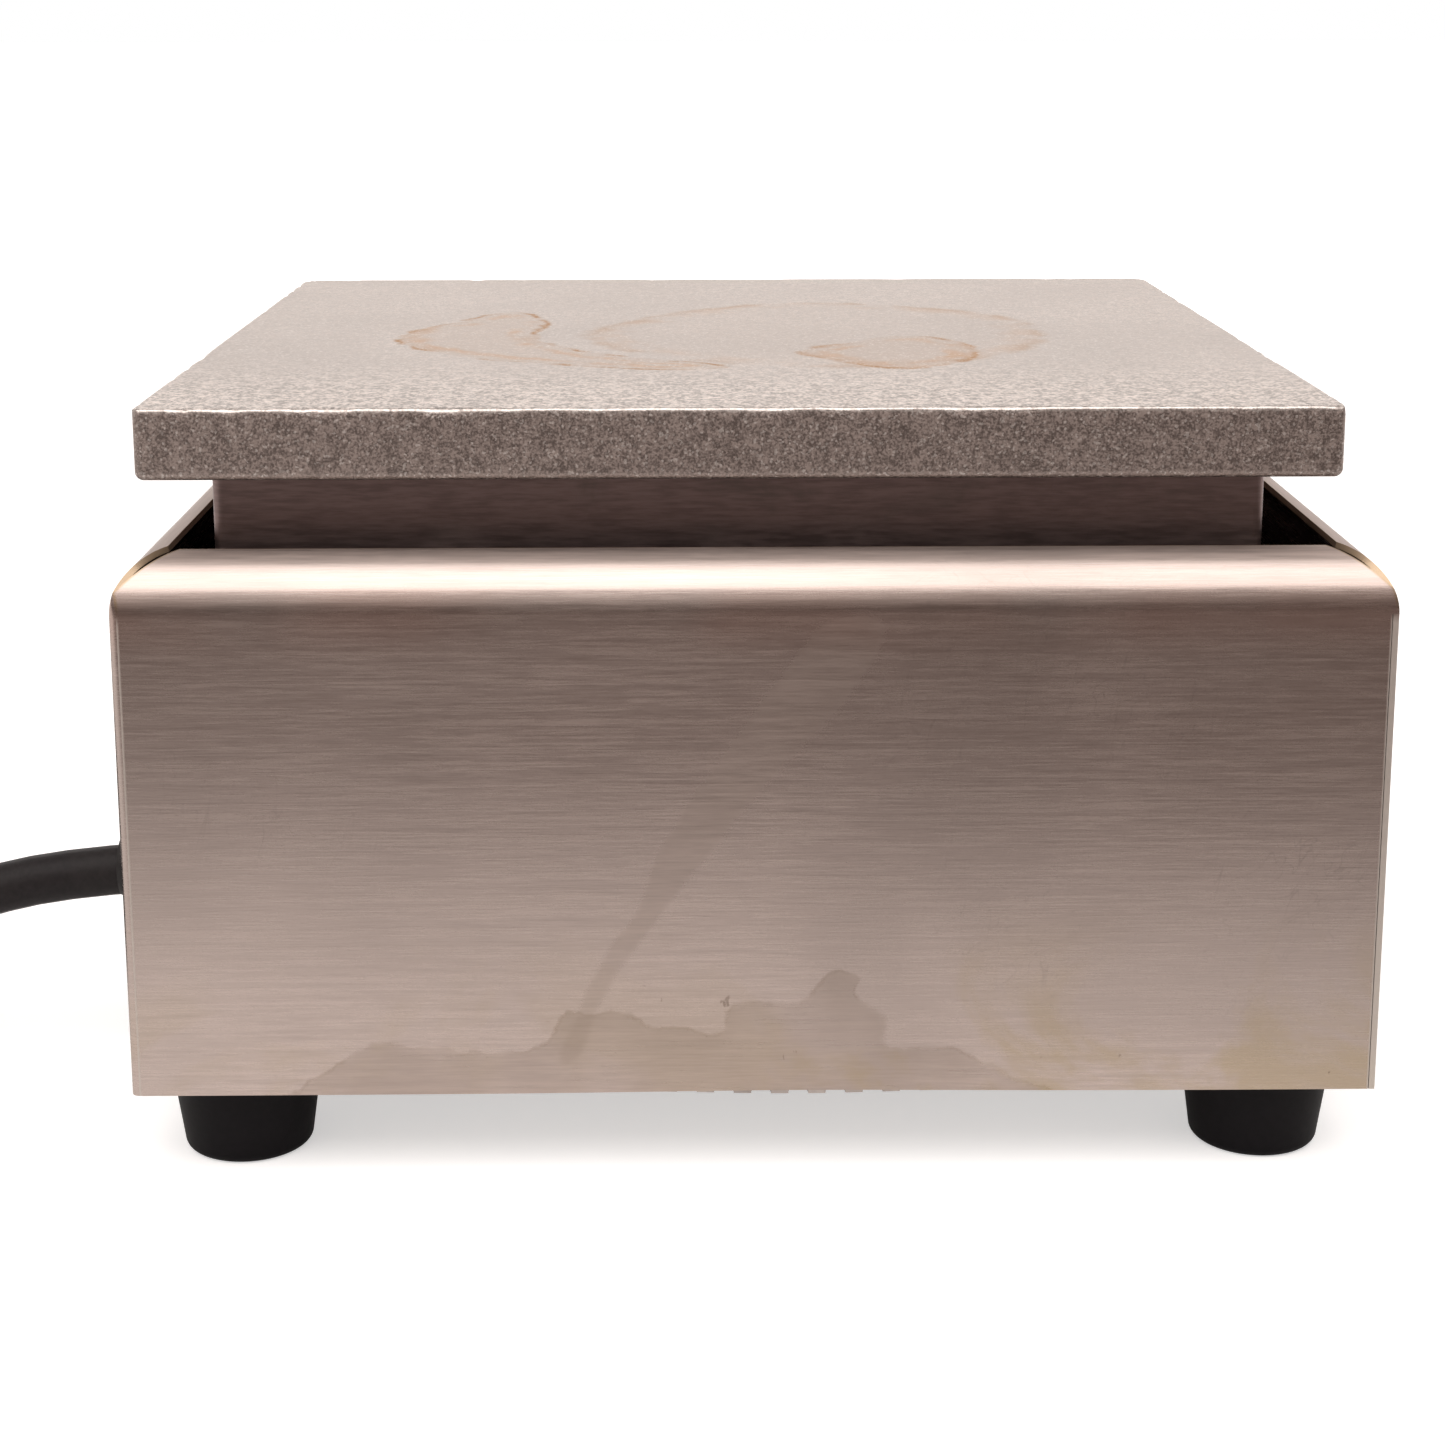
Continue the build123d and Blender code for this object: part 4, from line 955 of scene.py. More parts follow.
@dataclass
class CordTie:
    """Narrow rubber strap round the wound turns, on the coil's +Y side."""

    half_width: float = 3.0 * MM
    half_thickness: float = 0.35 * MM
    middle_x: float = -0.194
    centres: tuple = ((34.2, 11.4), (49.4, 11.4), (49.4, 3.8), (41.8, 3.8))

    def build(self, wardrobe: Wardrobe) -> Piece:
        """Flat section carried round the turns that it holds.

        In each direction the strap lies beyond the turn that reaches furthest that way, by the cord's
        radius, and it never goes below the surface that the coil lies on.
        """
        turn = np.linspace(0.0, 2.0 * math.pi, 120, endpoint=False)
        way = np.stack([np.cos(turn), np.sin(turn)], 1)
        centres = np.asarray(self.centres) * MM
        held = centres[np.argmax(way @ centres.T, axis=1)]
        section = np.linspace(0.0, 2.0 * math.pi, 17)[:, None]
        square = np.maximum(np.abs(np.cos(section)), np.abs(np.sin(section))) ** -0.6
        rise = 4.0 * MM + self.half_thickness * np.cos(section) * square
        x = self.middle_x + self.half_width * np.sin(section) * square + 0.0 * turn[None]
        y = held[:, 0][None] + rise * way[:, 0][None]
        lowest = 0.04 * MM * (1.0 + np.cos(section - math.pi))
        z = np.maximum(held[:, 1][None] + rise * way[:, 1][None], lowest)
        piece = skin(np.stack([x, y, z], -1), None, True).piece("cord_tie")
        merge_doubles(piece)
        return wardrobe.dress(piece, "plug_rubber")


@dataclass
class StrainRelief:
    """Tapered bush in the rear wall, with flexing grooves round its taper."""

    bore: float = 3.85 * MM
    flange: float = 8.0 * MM
    wall_face: float = -92.5 * MM
    axis_y: float = -33.6 * MM
    axis_z: float = 28.0 * MM
    grooves_from: float = 0.34
    grooves_to: float = 0.90

    def build(self, wardrobe: Wardrobe) -> Piece:
        """Turned profile: flange, taper with two grooves, rounded lip, then back through the bore.

        Along the taper the radius falls evenly, and each groove is the square of a sine's upper half wave.
        """
        low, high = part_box("strain_relief")
        out = self.wall_face - low.x
        inner = self.wall_face - high.x
        share = np.linspace(self.grooves_from, self.grooves_to, 41)
        wave = np.sin(3.0 * math.pi * (share - self.grooves_from) / (self.grooves_to - self.grooves_from))
        taper = 6.4 * MM - 1.5 * MM * (share - 0.22) / 0.78
        grooves = zip(taper - 0.45 * MM * np.maximum(wave, 0.0) ** 2, out * share)
        profile = [
            (self.bore, inner),
            (6.0 * MM, inner),
            (6.2 * MM, inner + 0.3 * MM),
            (6.2 * MM, 0.0),
            (self.flange - 0.3 * MM, 0.0),
            (self.flange, 0.3 * MM),
            (self.flange, 1.7 * MM),
            (self.flange - 0.7 * MM, 2.4 * MM),
            (6.4 * MM, 2.5 * MM),
            *grooves,
            (4.85 * MM, out * 0.95),
            (4.6 * MM, out * 0.99),
            (4.2 * MM, out),
            (self.bore, out * 0.985),
        ]
        radius, height = np.asarray(profile).T
        angle = np.linspace(0.0, 2.0 * math.pi, 48, endpoint=False)[None]
        loop = np.append(np.arange(len(radius)), 0)
        reach, level = radius[loop][:, None], height[loop][:, None] + 0.0 * angle
        grid = np.stack([reach * np.cos(angle), reach * np.sin(angle), level], -1)
        made = skin(grid, None, True).moved(AXIS_TO_MINUS_X, (self.wall_face, self.axis_y, self.axis_z))
        piece = made.piece("strain_relief_bush")
        merge_doubles(piece)
        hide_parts("strain_relief")
        return wardrobe.dress(piece, "cord_rubber_gland")


@dataclass
class Plug:
    """Moulded plug: a grooved neck, a grip with finger ribs, and a squared blade end."""

    neck: float = 12.0 * MM
    body: float = 30.0 * MM

    def build(self, wardrobe: Wardrobe) -> Piece:
        """Superellipse sections carried along +Y.

        The half width and half height ease from the neck to the blade face, the exponent grows from a
        circle's 2 to 5, and ribs are squared sines between 0.35 and 0.68 of the length.
        """
        low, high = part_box("plug_body")
        middle_x, middle_z = (low.x + high.x) / 2, (low.z + high.z) / 2
        length = self.neck + self.body
        s = np.concatenate([[0.0], np.linspace(0.004, 0.975, 90), [0.986, 0.994, 1.0]])[:, None]
        angle = np.linspace(0.0, 2.0 * math.pi, 72, endpoint=False)[None]
        swell = smooth_step(s, 0.24, 0.74)
        half_width = 4.9 * MM + 2.5 * MM * smooth_step(s, 0.0, 0.28) + 6.1 * MM * swell
        half_height = 4.9 * MM + 2.4 * MM * smooth_step(s, 0.0, 0.28) + 4.9 * MM * swell
        power = 2.0 + 3.0 * smooth_step(s, 0.2, 0.7)
        c, d = np.cos(angle), np.sin(angle)
        unit = (np.abs(c) ** power + np.abs(d) ** power) ** (-1.0 / power)
        groove = np.where((s > 0.05) & (s < 0.26), np.sin(np.pi * (s - 0.05) / 0.21 * 4.0) ** 2, 0.0)
        rib = np.where((s > 0.36) & (s < 0.70), np.sin(np.pi * (s - 0.36) / 0.34 * 5.0) ** 2, 0.0)
        flank = np.abs(c) ** 3
        inset = 0.5 * MM * groove + 0.7 * MM * rib * flank + 1.3 * MM * smooth_step(s, 0.975, 1.0) ** 2
        inset = inset + 0.6 * MM * (1.0 - smooth_step(s, 0.0, 0.01))
        x = middle_x + (half_width - inset) * unit * c
        z = middle_z + (half_height - inset) * unit * d
        y = low.y + length * s + 0.0 * angle
        made = capped(np.stack([x, y, z], -1)[:, ::-1])
        piece = made.piece("plug_grip", 40.0)
        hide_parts("plug_body")
        return wardrobe.dress(piece, "plug_rubber")


@dataclass
class HeatingPlate:
    """Square cast plate with a slightly uneven face, nicked edges and the marks of old spills."""

    near_corner: float = 1.2 * MM
    far_corner: float = 3.8 * MM
    edge: float = 0.38 * MM
    lower_edge: float = 1.2 * MM
    pole: float = 0.4 * MM
    columns: int = 480
    top_rows: int = 86
    side_rows: int = 10
    nicks: int = 90
    nick_depth: float = 0.22 * MM
    waviness: float = 0.07 * MM

    spills: tuple = (
        (
            (-51.8, -3.5), (-51.4, -13.0), (-45.4, -23.0), (-37.2, -31.5), (-28.2, -36.5), (-19.7, -39.8),
            (-10.9, -43.1), (-2.3, -41.2), (-4.2, -36.0), (-12.6, -31.8), (-20.2, -26.0), (-26.6, -17.4),
            (-29.7, -12.0), (-31.2, 0.0), (-30.2, 12.0), (-35.2, 27.2), (-40.2, 24.0), (-44.2, 14.0),
            (-49.2, 6.0),
        ),
        (
            (10.0, -25.1), (13.8, -32.0), (16.8, -36.3), (23.5, -43.0), (29.8, -39.5), (34.3, -33.0),
            (36.3, -25.7), (35.8, -17.0), (32.8, -9.5), (28.1, -6.4), (22.8, -8.5), (19.9, -12.2),
            (14.9, -17.1),
        ),
        (
            (-22.2, -8.0), (-17.2, 12.0), (-1.2, 33.0), (14.8, 40.0), (32.8, 33.0), (45.8, 18.0),
            (48.8, -4.0), (38.8, -30.0), (14.8, -41.0), (-9.2, -30.0),
        ),
    )

    def outline(self, half: float, inset: np.ndarray) -> np.ndarray:
        """Rounded square, one column for each point of the perimeter and one row for each inset.

        A point at angle a lies on the square of half width w where its larger coordinate is w.  In a
        corner of radius r it is pulled onto the arc: corner + r times the unit vector from the arc's centre.

        Args:
            half: Half width of the plate.
            inset: How far each row lies inside the outer outline, (rows, 1).

        Returns:
            Offsets from the plate's middle, (rows, columns, 2).
        """
        share = np.arange(self.columns) / self.columns * 4.0
        side, t = np.floor(share), (share % 1.0) * 2.0 - 1.0
        t = np.tanh(1.6 * t) / math.tanh(1.6)
        x = np.select([side == 0, side == 1, side == 2], [t, 1.0, -t], -1.0)[None]
        y = np.select([side == 0, side == 1, side == 2], [-1.0, t, 1.0], -t)[None]
        w = half - inset
        x, y = x * w, y * w
        radius = np.maximum(np.where(y > 0, self.far_corner, self.near_corner) - inset, 1e-5)
        radius = np.minimum(radius, w)
        cx, cy = np.sign(x) * (w - radius), np.sign(y) * (w - radius)
        corner = (np.abs(x) > w - radius) & (np.abs(y) > w - radius)
        dx, dy = x - cx, y - cy
        size = np.maximum(np.hypot(dx, dy), 1e-9)
        x, y = np.where(corner, cx + dx / size * radius, x), np.where(corner, cy + dy / size * radius, y)
        return np.stack([x, y], -1)

    def section(self, half: float, thick: float) -> tuple[np.ndarray, np.ndarray]:
        """Section of the plate, from the middle of the top over the edge and in under the plate.

        Args:
            half: Half width of the plate.
            thick: Thickness of the plate.

        Returns:
            Inset from the outer outline and drop from the top, each (rows, 1).
        """
        top = np.linspace(half - self.pole, self.edge, self.top_rows)
        fillet = np.array([0.68, 0.32, 0.08]) * self.edge
        side = np.linspace(self.edge, thick - self.lower_edge, self.side_rows)
        bend = np.radians(np.linspace(15.0, 90.0, 6))
        lower = self.lower_edge * (1.0 - np.cos(bend))
        under = np.linspace(self.lower_edge, half - self.pole, 12)[1:]
        inset = np.concatenate([top, fillet, 0.0 * side, lower, under])
        below = thick - self.lower_edge * (1.0 - np.sin(bend))
        drop = np.concatenate([0.0 * top, fillet[::-1], side, below, np.full(len(under), thick)])
        return inset[:, None], drop[:, None]

    def nicked(self, inset: np.ndarray, drop: np.ndarray) -> np.ndarray:
        """Depth of the nicks: seeded bell curves along the perimeter, times a bell across the edge."""
        rng = np.random.default_rng(11)
        share = np.arange(self.columns) / self.columns
        bite = np.zeros(self.columns)
        for spot, width, depth in rng.uniform((0.0, 0.3, 0.1), (1.0, 1.6, 1.0), (self.nicks, 3)):
            gap = (share - spot + 0.5) % 1.0 - 0.5
            bite += depth * np.exp(-((gap * self.columns / width) ** 2))
        bell = ((inset - 0.15 * MM) / (0.5 * MM)) ** 2 + ((drop - 0.2 * MM) / (0.5 * MM)) ** 2
        return self.nick_depth * np.clip(bite, 0.0, 1.0)[None] * np.exp(-bell)

    def build(self, wardrobe: Wardrobe) -> Piece:
        """Rings of the section, with a slow waviness on the face and nicks along the upper edge."""
        low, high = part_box("heating_plate")
        half = (high.x - low.x) / 2
        middle = ((low.x + high.x) / 2, (low.y + high.y) / 2)
        inset, drop = self.section(half, high.z - low.z)
        xy = self.outline(half, inset)
        x, y = middle[0] + xy[..., 0], middle[1] + xy[..., 1]
        wave = self.waviness * (1.0 + ripple(x, y, 60 * MM, 4)) * smooth_step(inset, self.edge, 8 * MM)
        bitten = self.nicked(inset, drop)
        z = high.z - drop - np.where(drop < 1e-7, wave, 0.0) - bitten
        length = np.maximum(np.hypot(xy[..., 0], xy[..., 1]), 1e-9)
        x = x - xy[..., 0] / length * bitten
        y = y - xy[..., 1] / length * bitten
        rings = {}
        for number, spill in enumerate(self.spills, 1):
            gap = signed_distance((x - middle[0]) / MM, (y - middle[1]) / MM, closed_curve(spill))
            rings[f"ring_{number}"] = np.where(drop < 1.0 * MM, gap, 60.0)
        rings["from_edge"] = np.hypot(inset, drop) / MM + 0.0 * x
        grid = np.stack([x, y, z], -1)[::-1]
        made = capped(grid, **{k: v[::-1] for k, v in rings.items()})
        piece = made.piece("cast_plate", 50.0)
        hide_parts("heating_plate")
        return wardrobe.dress(piece, "cast_aluminium")


@dataclass
class Housing:
    """Rolled sheet housing: a U-shaped wrapper and the control panel that closes it."""

    middle_x: float = -0.008
    half: float = 84.5 * MM
    sheet: float = 0.8 * MM
    bottom: float = 12.3 * MM
    roll_start: float = 78.8 * MM
    roll_radius: float = 8.0 * MM
    roll_end_deg: float = 80.0
    mitre_deg: float = 24.0
    bend: float = 1.2 * MM
    seam: float = 0.1 * MM
    lift: float = 0.32 * MM
    lift_middle: float = 6.0 * MM
    lift_width: float = 28.0 * MM
    waviness: float = 0.16 * MM
    no_mark: float = 60.0
    wall_rows: int = 46
    roll_rows: int = 34

    residue: tuple = (
        (-64.7, 9.0), (-61.7, 13.2), (-60.8, 14.1), (-57.8, 15.0), (-55.3, 17.2), (-52.8, 19.1),
        (-49.6, 19.7), (-46.4, 18.9), (-43.6, 19.2), (-41.1, 18.9), (-40.1, 18.0), (-37.2, 18.2),
        (-35.1, 17.2), (-33.8, 18.3), (-31.5, 18.0), (-28.7, 19.2), (-27.1, 20.5), (-25.9, 23.1),
        (-24.7, 24.9), (-23.0, 23.8), (-20.5, 24.0), (-17.3, 23.8), (-15.2, 23.1), (-13.7, 21.6),
        (-10.2, 21.3), (-7.4, 21.0), (-4.2, 21.1), (-3.5, 24.0), (-1.0, 25.2), (3.2, 24.9), (6.8, 25.1),
        (8.6, 27.5), (10.0, 28.7), (11.8, 29.2), (13.9, 28.4), (13.3, 26.2), (15.3, 25.1), (16.9, 23.8),
        (17.9, 21.1), (17.4, 19.1), (21.0, 18.3), (26.7, 18.6), (29.6, 17.2), (33.8, 15.3), (37.3, 13.2),
        (39.3, 9.0),
    )
    smear: tuple = (
        (9.0, 77.5), (1.0, 67.0), (-6.5, 56.5), (-12.5, 47.0), (-15.6, 38.5), (-20.4, 31.5), (-24.4, 22.5),
        (-26.4, 17.0), (-23.8, 17.6), (-21.0, 24.5), (-17.6, 31.0), (-12.0, 38.5), (-6.0, 46.5), (2.5, 57.0),
        (12.5, 68.0), (17.0, 77.5),
    )

    def rows(self) -> tuple[np.ndarray, np.ndarray, np.ndarray]:
        """Profile rows: height up the wall, then round the roll.

        Returns:
            Roll angle (0 on the wall), inset and height of each row.
        """
        wall = np.linspace(self.bottom, self.roll_start - 0.01 * MM, self.wall_rows)
        mitre, last = math.radians(self.mitre_deg), math.radians(self.roll_end_deg)
        mitred = np.linspace(0.0, mitre, self.roll_rows // 3)
        angle = np.concatenate([mitred, np.linspace(mitre, last, self.roll_rows)[1:]])
        inset = np.concatenate([np.zeros(len(wall)), self.roll_radius * (1 - np.cos(angle))])
        height = np.concatenate([wall, self.roll_start + self.roll_radius * np.sin(angle)])
        return np.concatenate([np.zeros(len(wall)), angle]), inset, height

    def opening(self, angle: np.ndarray, inset: np.ndarray) -> np.ndarray:
        """How far a side's end lies from the sharp corner.

        Up to the mitre angle the ends meet on the diagonal, so it is the inset.  Beyond it the sheet
        was cut square to its edge before rolling, so it is the developed length less what the mitre used.
        """
        closed = math.radians(self.mitre_deg)
        used = self.roll_radius * (closed - 1.0 + math.cos(closed))
        return np.where(angle <= closed + 1e-6, inset, self.roll_radius * angle - used)

    def fold_radius(self, inset: np.ndarray) -> np.ndarray:
        """Radius of the folds: the bend radius on the wall, shrinking to nothing at the mitre angle."""
        deepest = self.roll_radius * (1.0 - math.cos(math.radians(self.mitre_deg)))
        return np.maximum(self.bend * (1.0 - inset / deepest), 0.0)

    def side(self, facing: int, first_trim: float, last_trim: float, marks: bool) -> Surface:
        """One side of the housing, wall and roll together.

        A row runs along the side from one end to the other and is offset inwards by its inset.
        The wall is pressed in by up to twice the waviness in a gentle ripple that dies out at its borders.
        On the marked side the lower edge is lifted by a bell curve, so that the tray's notches show.

        Args:
            facing: 0 for -Y, 1 for +X, 2 for +Y, 3 for -X.
            first_trim: What the wall rows give up at their start.
            last_trim: What the wall rows give up at their end.
            marks: Whether the residue and the smear are on it.

        Returns:
            The sheet of that side.
        """
        angle, inset, height = self.rows()
        short = self.opening(angle, inset)
        on_wall = np.arange(len(height)) < self.wall_rows
        folded = self.fold_radius(inset)
        start = -self.half + np.where(on_wall, first_trim, short + folded * (first_trim == self.bend))
        end = self.half - np.where(on_wall, last_trim, short + folded * (last_trim == self.bend))
        even = np.linspace(-1.0, 1.0, 141)
        share = 0.5 + 0.5 * np.sin(even * math.pi / 2) * 0.35 + 0.5 * even * 0.65
        along = start[:, None] + (end - start)[:, None] * share[None]
        level = height[:, None] + 0.0 * along
        if marks:
            hump = np.exp(-(((along - self.lift_middle) / self.lift_width) ** 2))
            level = level + self.lift * hump * (1.0 - smooth_step(level, self.bottom, self.bottom + 10 * MM))
        calm = smooth_step(self.half - np.abs(along), 0.0, 25 * MM)
        calm = calm * smooth_step(level, self.bottom, self.bottom + 14 * MM)
        calm = calm * (1.0 - smooth_step(level, self.roll_start - 14 * MM, self.roll_start))
        press = self.waviness * (1.0 + ripple(along, level, 70 * MM, 20 + facing)) * calm
        depth = self.half - inset[:, None] - press
        turn = facing * math.pi / 2
        x = self.middle_x + along * math.cos(turn) + depth * math.sin(turn)
        y = along * math.sin(turn) - depth * math.cos(turn)
        rise = np.concatenate([[0.0], np.cumsum(np.hypot(np.diff(height), np.diff(inset)))])
        chart = np.stack([along + facing * 0.31, rise[:, None] + 0.0 * along], -1)
        far = np.full(along.shape, self.no_mark)
        fields = {"residue": far, "smear": far}
        if marks:
            fields = {
                "residue": signed_distance(along / MM, level / MM, closed_curve(self.residue, 2)),
                "smear": signed_distance(along / MM, level / MM, closed_curve(self.smear, 4)),
            }
        return sheet_shell(np.stack([x, y, level], -1), chart, self.sheet, **fields)

    def corner_bend(self, sign: int) -> Surface:
        """Rounded fold between the rear wall and a long wall, closing to a point at the mitre.

        Args:
            sign: -1 for the fold beside the -Y wall, 1 for the one beside the +Y wall.

        Returns:
            The sheet of the fold.
        """
        angle, inset, height = self.rows()
        keep = angle <= math.radians(self.mitre_deg) + 1e-6
        inset, height = inset[keep], height[keep]
        radius = self.fold_radius(inset) + 0.005 * MM
        turn = np.linspace(0.0, math.pi / 2, 9)[None]
        centre = self.half - inset - radius
        away = centre[:, None] + radius[:, None] * np.sin(turn)
        side = centre[:, None] + radius[:, None] * np.cos(turn)
        x, y = self.middle_x - away, sign * side
        grid = np.stack([x, y, height[:, None] + 0.0 * turn], -1)
        rise = height - self.bottom
        chart = np.stack([radius[:, None] * turn + 1.5, rise[:, None] + 0.0 * turn], -1)
        if sign < 0:
            grid, chart = grid[:, ::-1], chart[:, ::-1]
        far = np.full(grid.shape[:2], self.no_mark)
        return sheet_shell(grid, chart, self.sheet, residue=far, smear=far)

    def build(self, wardrobe: Wardrobe) -> None:
        """Make the wrapper from three sides and two folds, and the panel from the fourth side."""
        butt = self.sheet + self.seam
        parts = [
            self.side(0, self.bend, butt, True),
            self.side(3, self.bend, self.bend, False),
            self.side(2, butt, self.bend, False),
            self.corner_bend(-1),
            self.corner_bend(1),
        ]
        wrapper = Surface.joined(parts).piece("rolled_wrapper")
        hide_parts("housing_wrapper")
        wardrobe.dress(wrapper, "brushed_housing")
        panel = self.side(1, 0.0, 0.0, False).piece("rolled_panel")
        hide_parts("control_panel")
        wardrobe.dress(panel, "brushed_panel")


@dataclass
class WallScrews:
    """Pan head screws with a cross recess, two in a wall."""

    head: float = 2.8 * MM
    height: float = 1.8 * MM
    spacing: float = 120.0 * MM
    level: float = 16.3 * MM

    def head_surface(self, swing: float) -> Surface:
        """Screw head on +Z: rings out to the rim of a dome, then down its side.

        The dome falls with the fourth power of the radius, and the cross is a dip of 0.9 mm that eases
        in from 0.5 to 0.3 mm beside either arm's middle line, and from 1.8 to 1.3 mm from the axis.
        """
        r = np.concatenate([np.linspace(0.02, 0.98, 34), [1.0, 1.0]])[:, None] * self.head
        angle = np.linspace(0.0, 2.0 * math.pi, 96, endpoint=False)[None]
        x, y = r * np.cos(angle), r * np.sin(angle)
        dome = self.height * (1.0 - 0.45 * (r / self.head) ** 4)
        a, b = np.cos(swing) * x + np.sin(swing) * y, np.cos(swing) * y - np.sin(swing) * x
        arm = 1.0 - smooth_step(np.minimum(np.abs(a), np.abs(b)), 0.3 * MM, 0.5 * MM)
        dip = 0.9 * MM * arm * (1.0 - smooth_step(r, 1.3 * MM, 1.8 * MM))
        z = dome - dip
        z[-1] = 0.0
        return capped(np.stack([x, y, z], -1)[::-1])

    def build(self, wardrobe: Wardrobe) -> None:
        """Two heads on the rear wall and two on the control panel."""
        walls = (
            ("rear_screws", AXIS_TO_MINUS_X, "rear_screw_heads"),
            ("panel_screws", AXIS_TO_X, "panel_screw_heads"),
        )
        for node, matrix, name in walls:
            low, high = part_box(node)
            face = low.x + self.height if node == "rear_screws" else high.x - self.height
            heads = []
            for sign, swing in ((-1, 0.3), (1, 1.1)):
                place = (face, sign * self.spacing / 2, self.level)
                heads.append(self.head_surface(swing).moved(matrix, place))
            piece = Surface.joined(heads).piece(name, 45.0)
            wardrobe.dress(piece, "zinc_screw")
            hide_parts(node)


@dataclass
class DialMarks:
    """Thin raised marks and numbers on the scale plate behind the knob."""

    axis_z: float = 43.0 * MM
    thickness: float = 0.12 * MM
    tick_ring: float = 20.9 * MM
    number_ring: float = 26.6 * MM
    long_tick: float = 1.5 * MM
    short_tick: float = 0.8 * MM
    half_tick: float = 0.24 * MM
    steps: int = 10
    step_deg: float = 30.0
    letter: float = 4.4 * MM

    def place(self, angle: float, reach: float) -> tuple[float, float]:
        """Y and Z of a point at a clockwise angle from the top, seen from the control side."""
        return reach * math.sin(angle), self.axis_z + reach * math.cos(angle)

    def ticks(self, face: float) -> Surface:
        """Short bars that point at the axis, longer at each numbered step.

        Each bar is a small rounded box: a superellipse ring carried from the plate's face to its top.
        """
        bars = []
        turn = np.linspace(0.0, 2.0 * math.pi, 20, endpoint=False)[None]
        level = np.array([0.0, 0.75, 1.0, 1.0])[:, None] * self.thickness
        shrink = np.array([1.0, 1.0, 0.9, 0.6])[:, None]
        for k in range(2 * self.steps + 1):
            angle = math.radians(k * self.step_deg / 2)
            length = self.long_tick if k % 2 == 0 else self.short_tick
            long_way = np.sign(np.cos(turn)) * np.abs(np.cos(turn)) ** 0.4 * length / 2 * shrink
            short_way = np.sign(np.sin(turn)) * np.abs(np.sin(turn)) ** 0.4 * self.half_tick * shrink
            y0, z0 = self.place(angle, self.tick_ring)
            y = y0 + long_way * math.sin(angle) + short_way * math.cos(angle)
            z = z0 + long_way * math.cos(angle) - short_way * math.sin(angle)
            bars.append(capped(np.stack([face + level + 0.0 * y, y, z], -1)[:, ::-1]))
        return Surface.joined(bars)

    def number(self, text: str, angle: float, face: float) -> Surface:
        """One upright number, flat text given a thickness and then put in place.

        Args:
            text: The number.
            angle: Clockwise angle from the top.
            face: X of the scale plate's face.

        Returns:
            The number as a surface made of the text's own faces.
        """
        curve = bpy.data.curves.new("number_" + text, "FONT")
        curve.body = text
        curve.size = self.letter
        curve.align_x, curve.align_y = "CENTER", "CENTER"
        curve.extrude = self.thickness / 2
        curve.resolution_u = 3
        holder = bpy.data.objects.new("number_" + text, curve)
        bpy.context.scene.collection.objects.link(holder)
        bpy.context.view_layer.update()
        mesh = bpy.data.meshes.new_from_object(holder)
        points = np.zeros(len(mesh.vertices) * 3)
        mesh.vertices.foreach_get("co", points)
        faces = [tuple(p.vertices) for p in mesh.polygons]
        bpy.data.objects.remove(holder)
        flat = points.reshape(-1, 3)
        y0, z0 = self.place(angle, self.number_ring)
        placed = np.stack([face + self.thickness / 2 + flat[:, 2], y0 + flat[:, 0], z0 + flat[:, 1]], 1)
        return Surface(placed, np.zeros((0, 4), int), faces)

    def build(self, wardrobe: Wardrobe) -> None:
        """Ticks and the numbers 0 to 10 on the scale plate."""
        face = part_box("dial_plate")[1].x
        wardrobe.dress(self.ticks(face).piece("dial_ticks"), "knob_phenolic")
        numbers = [self.number(str(k), math.radians(k * self.step_deg), face) for k in range(self.steps + 1)]
        wardrobe.dress(Surface.joined(numbers).piece("dial_numbers", 20.0), "knob_phenolic")


# ---------------------------------------------------------------- studio


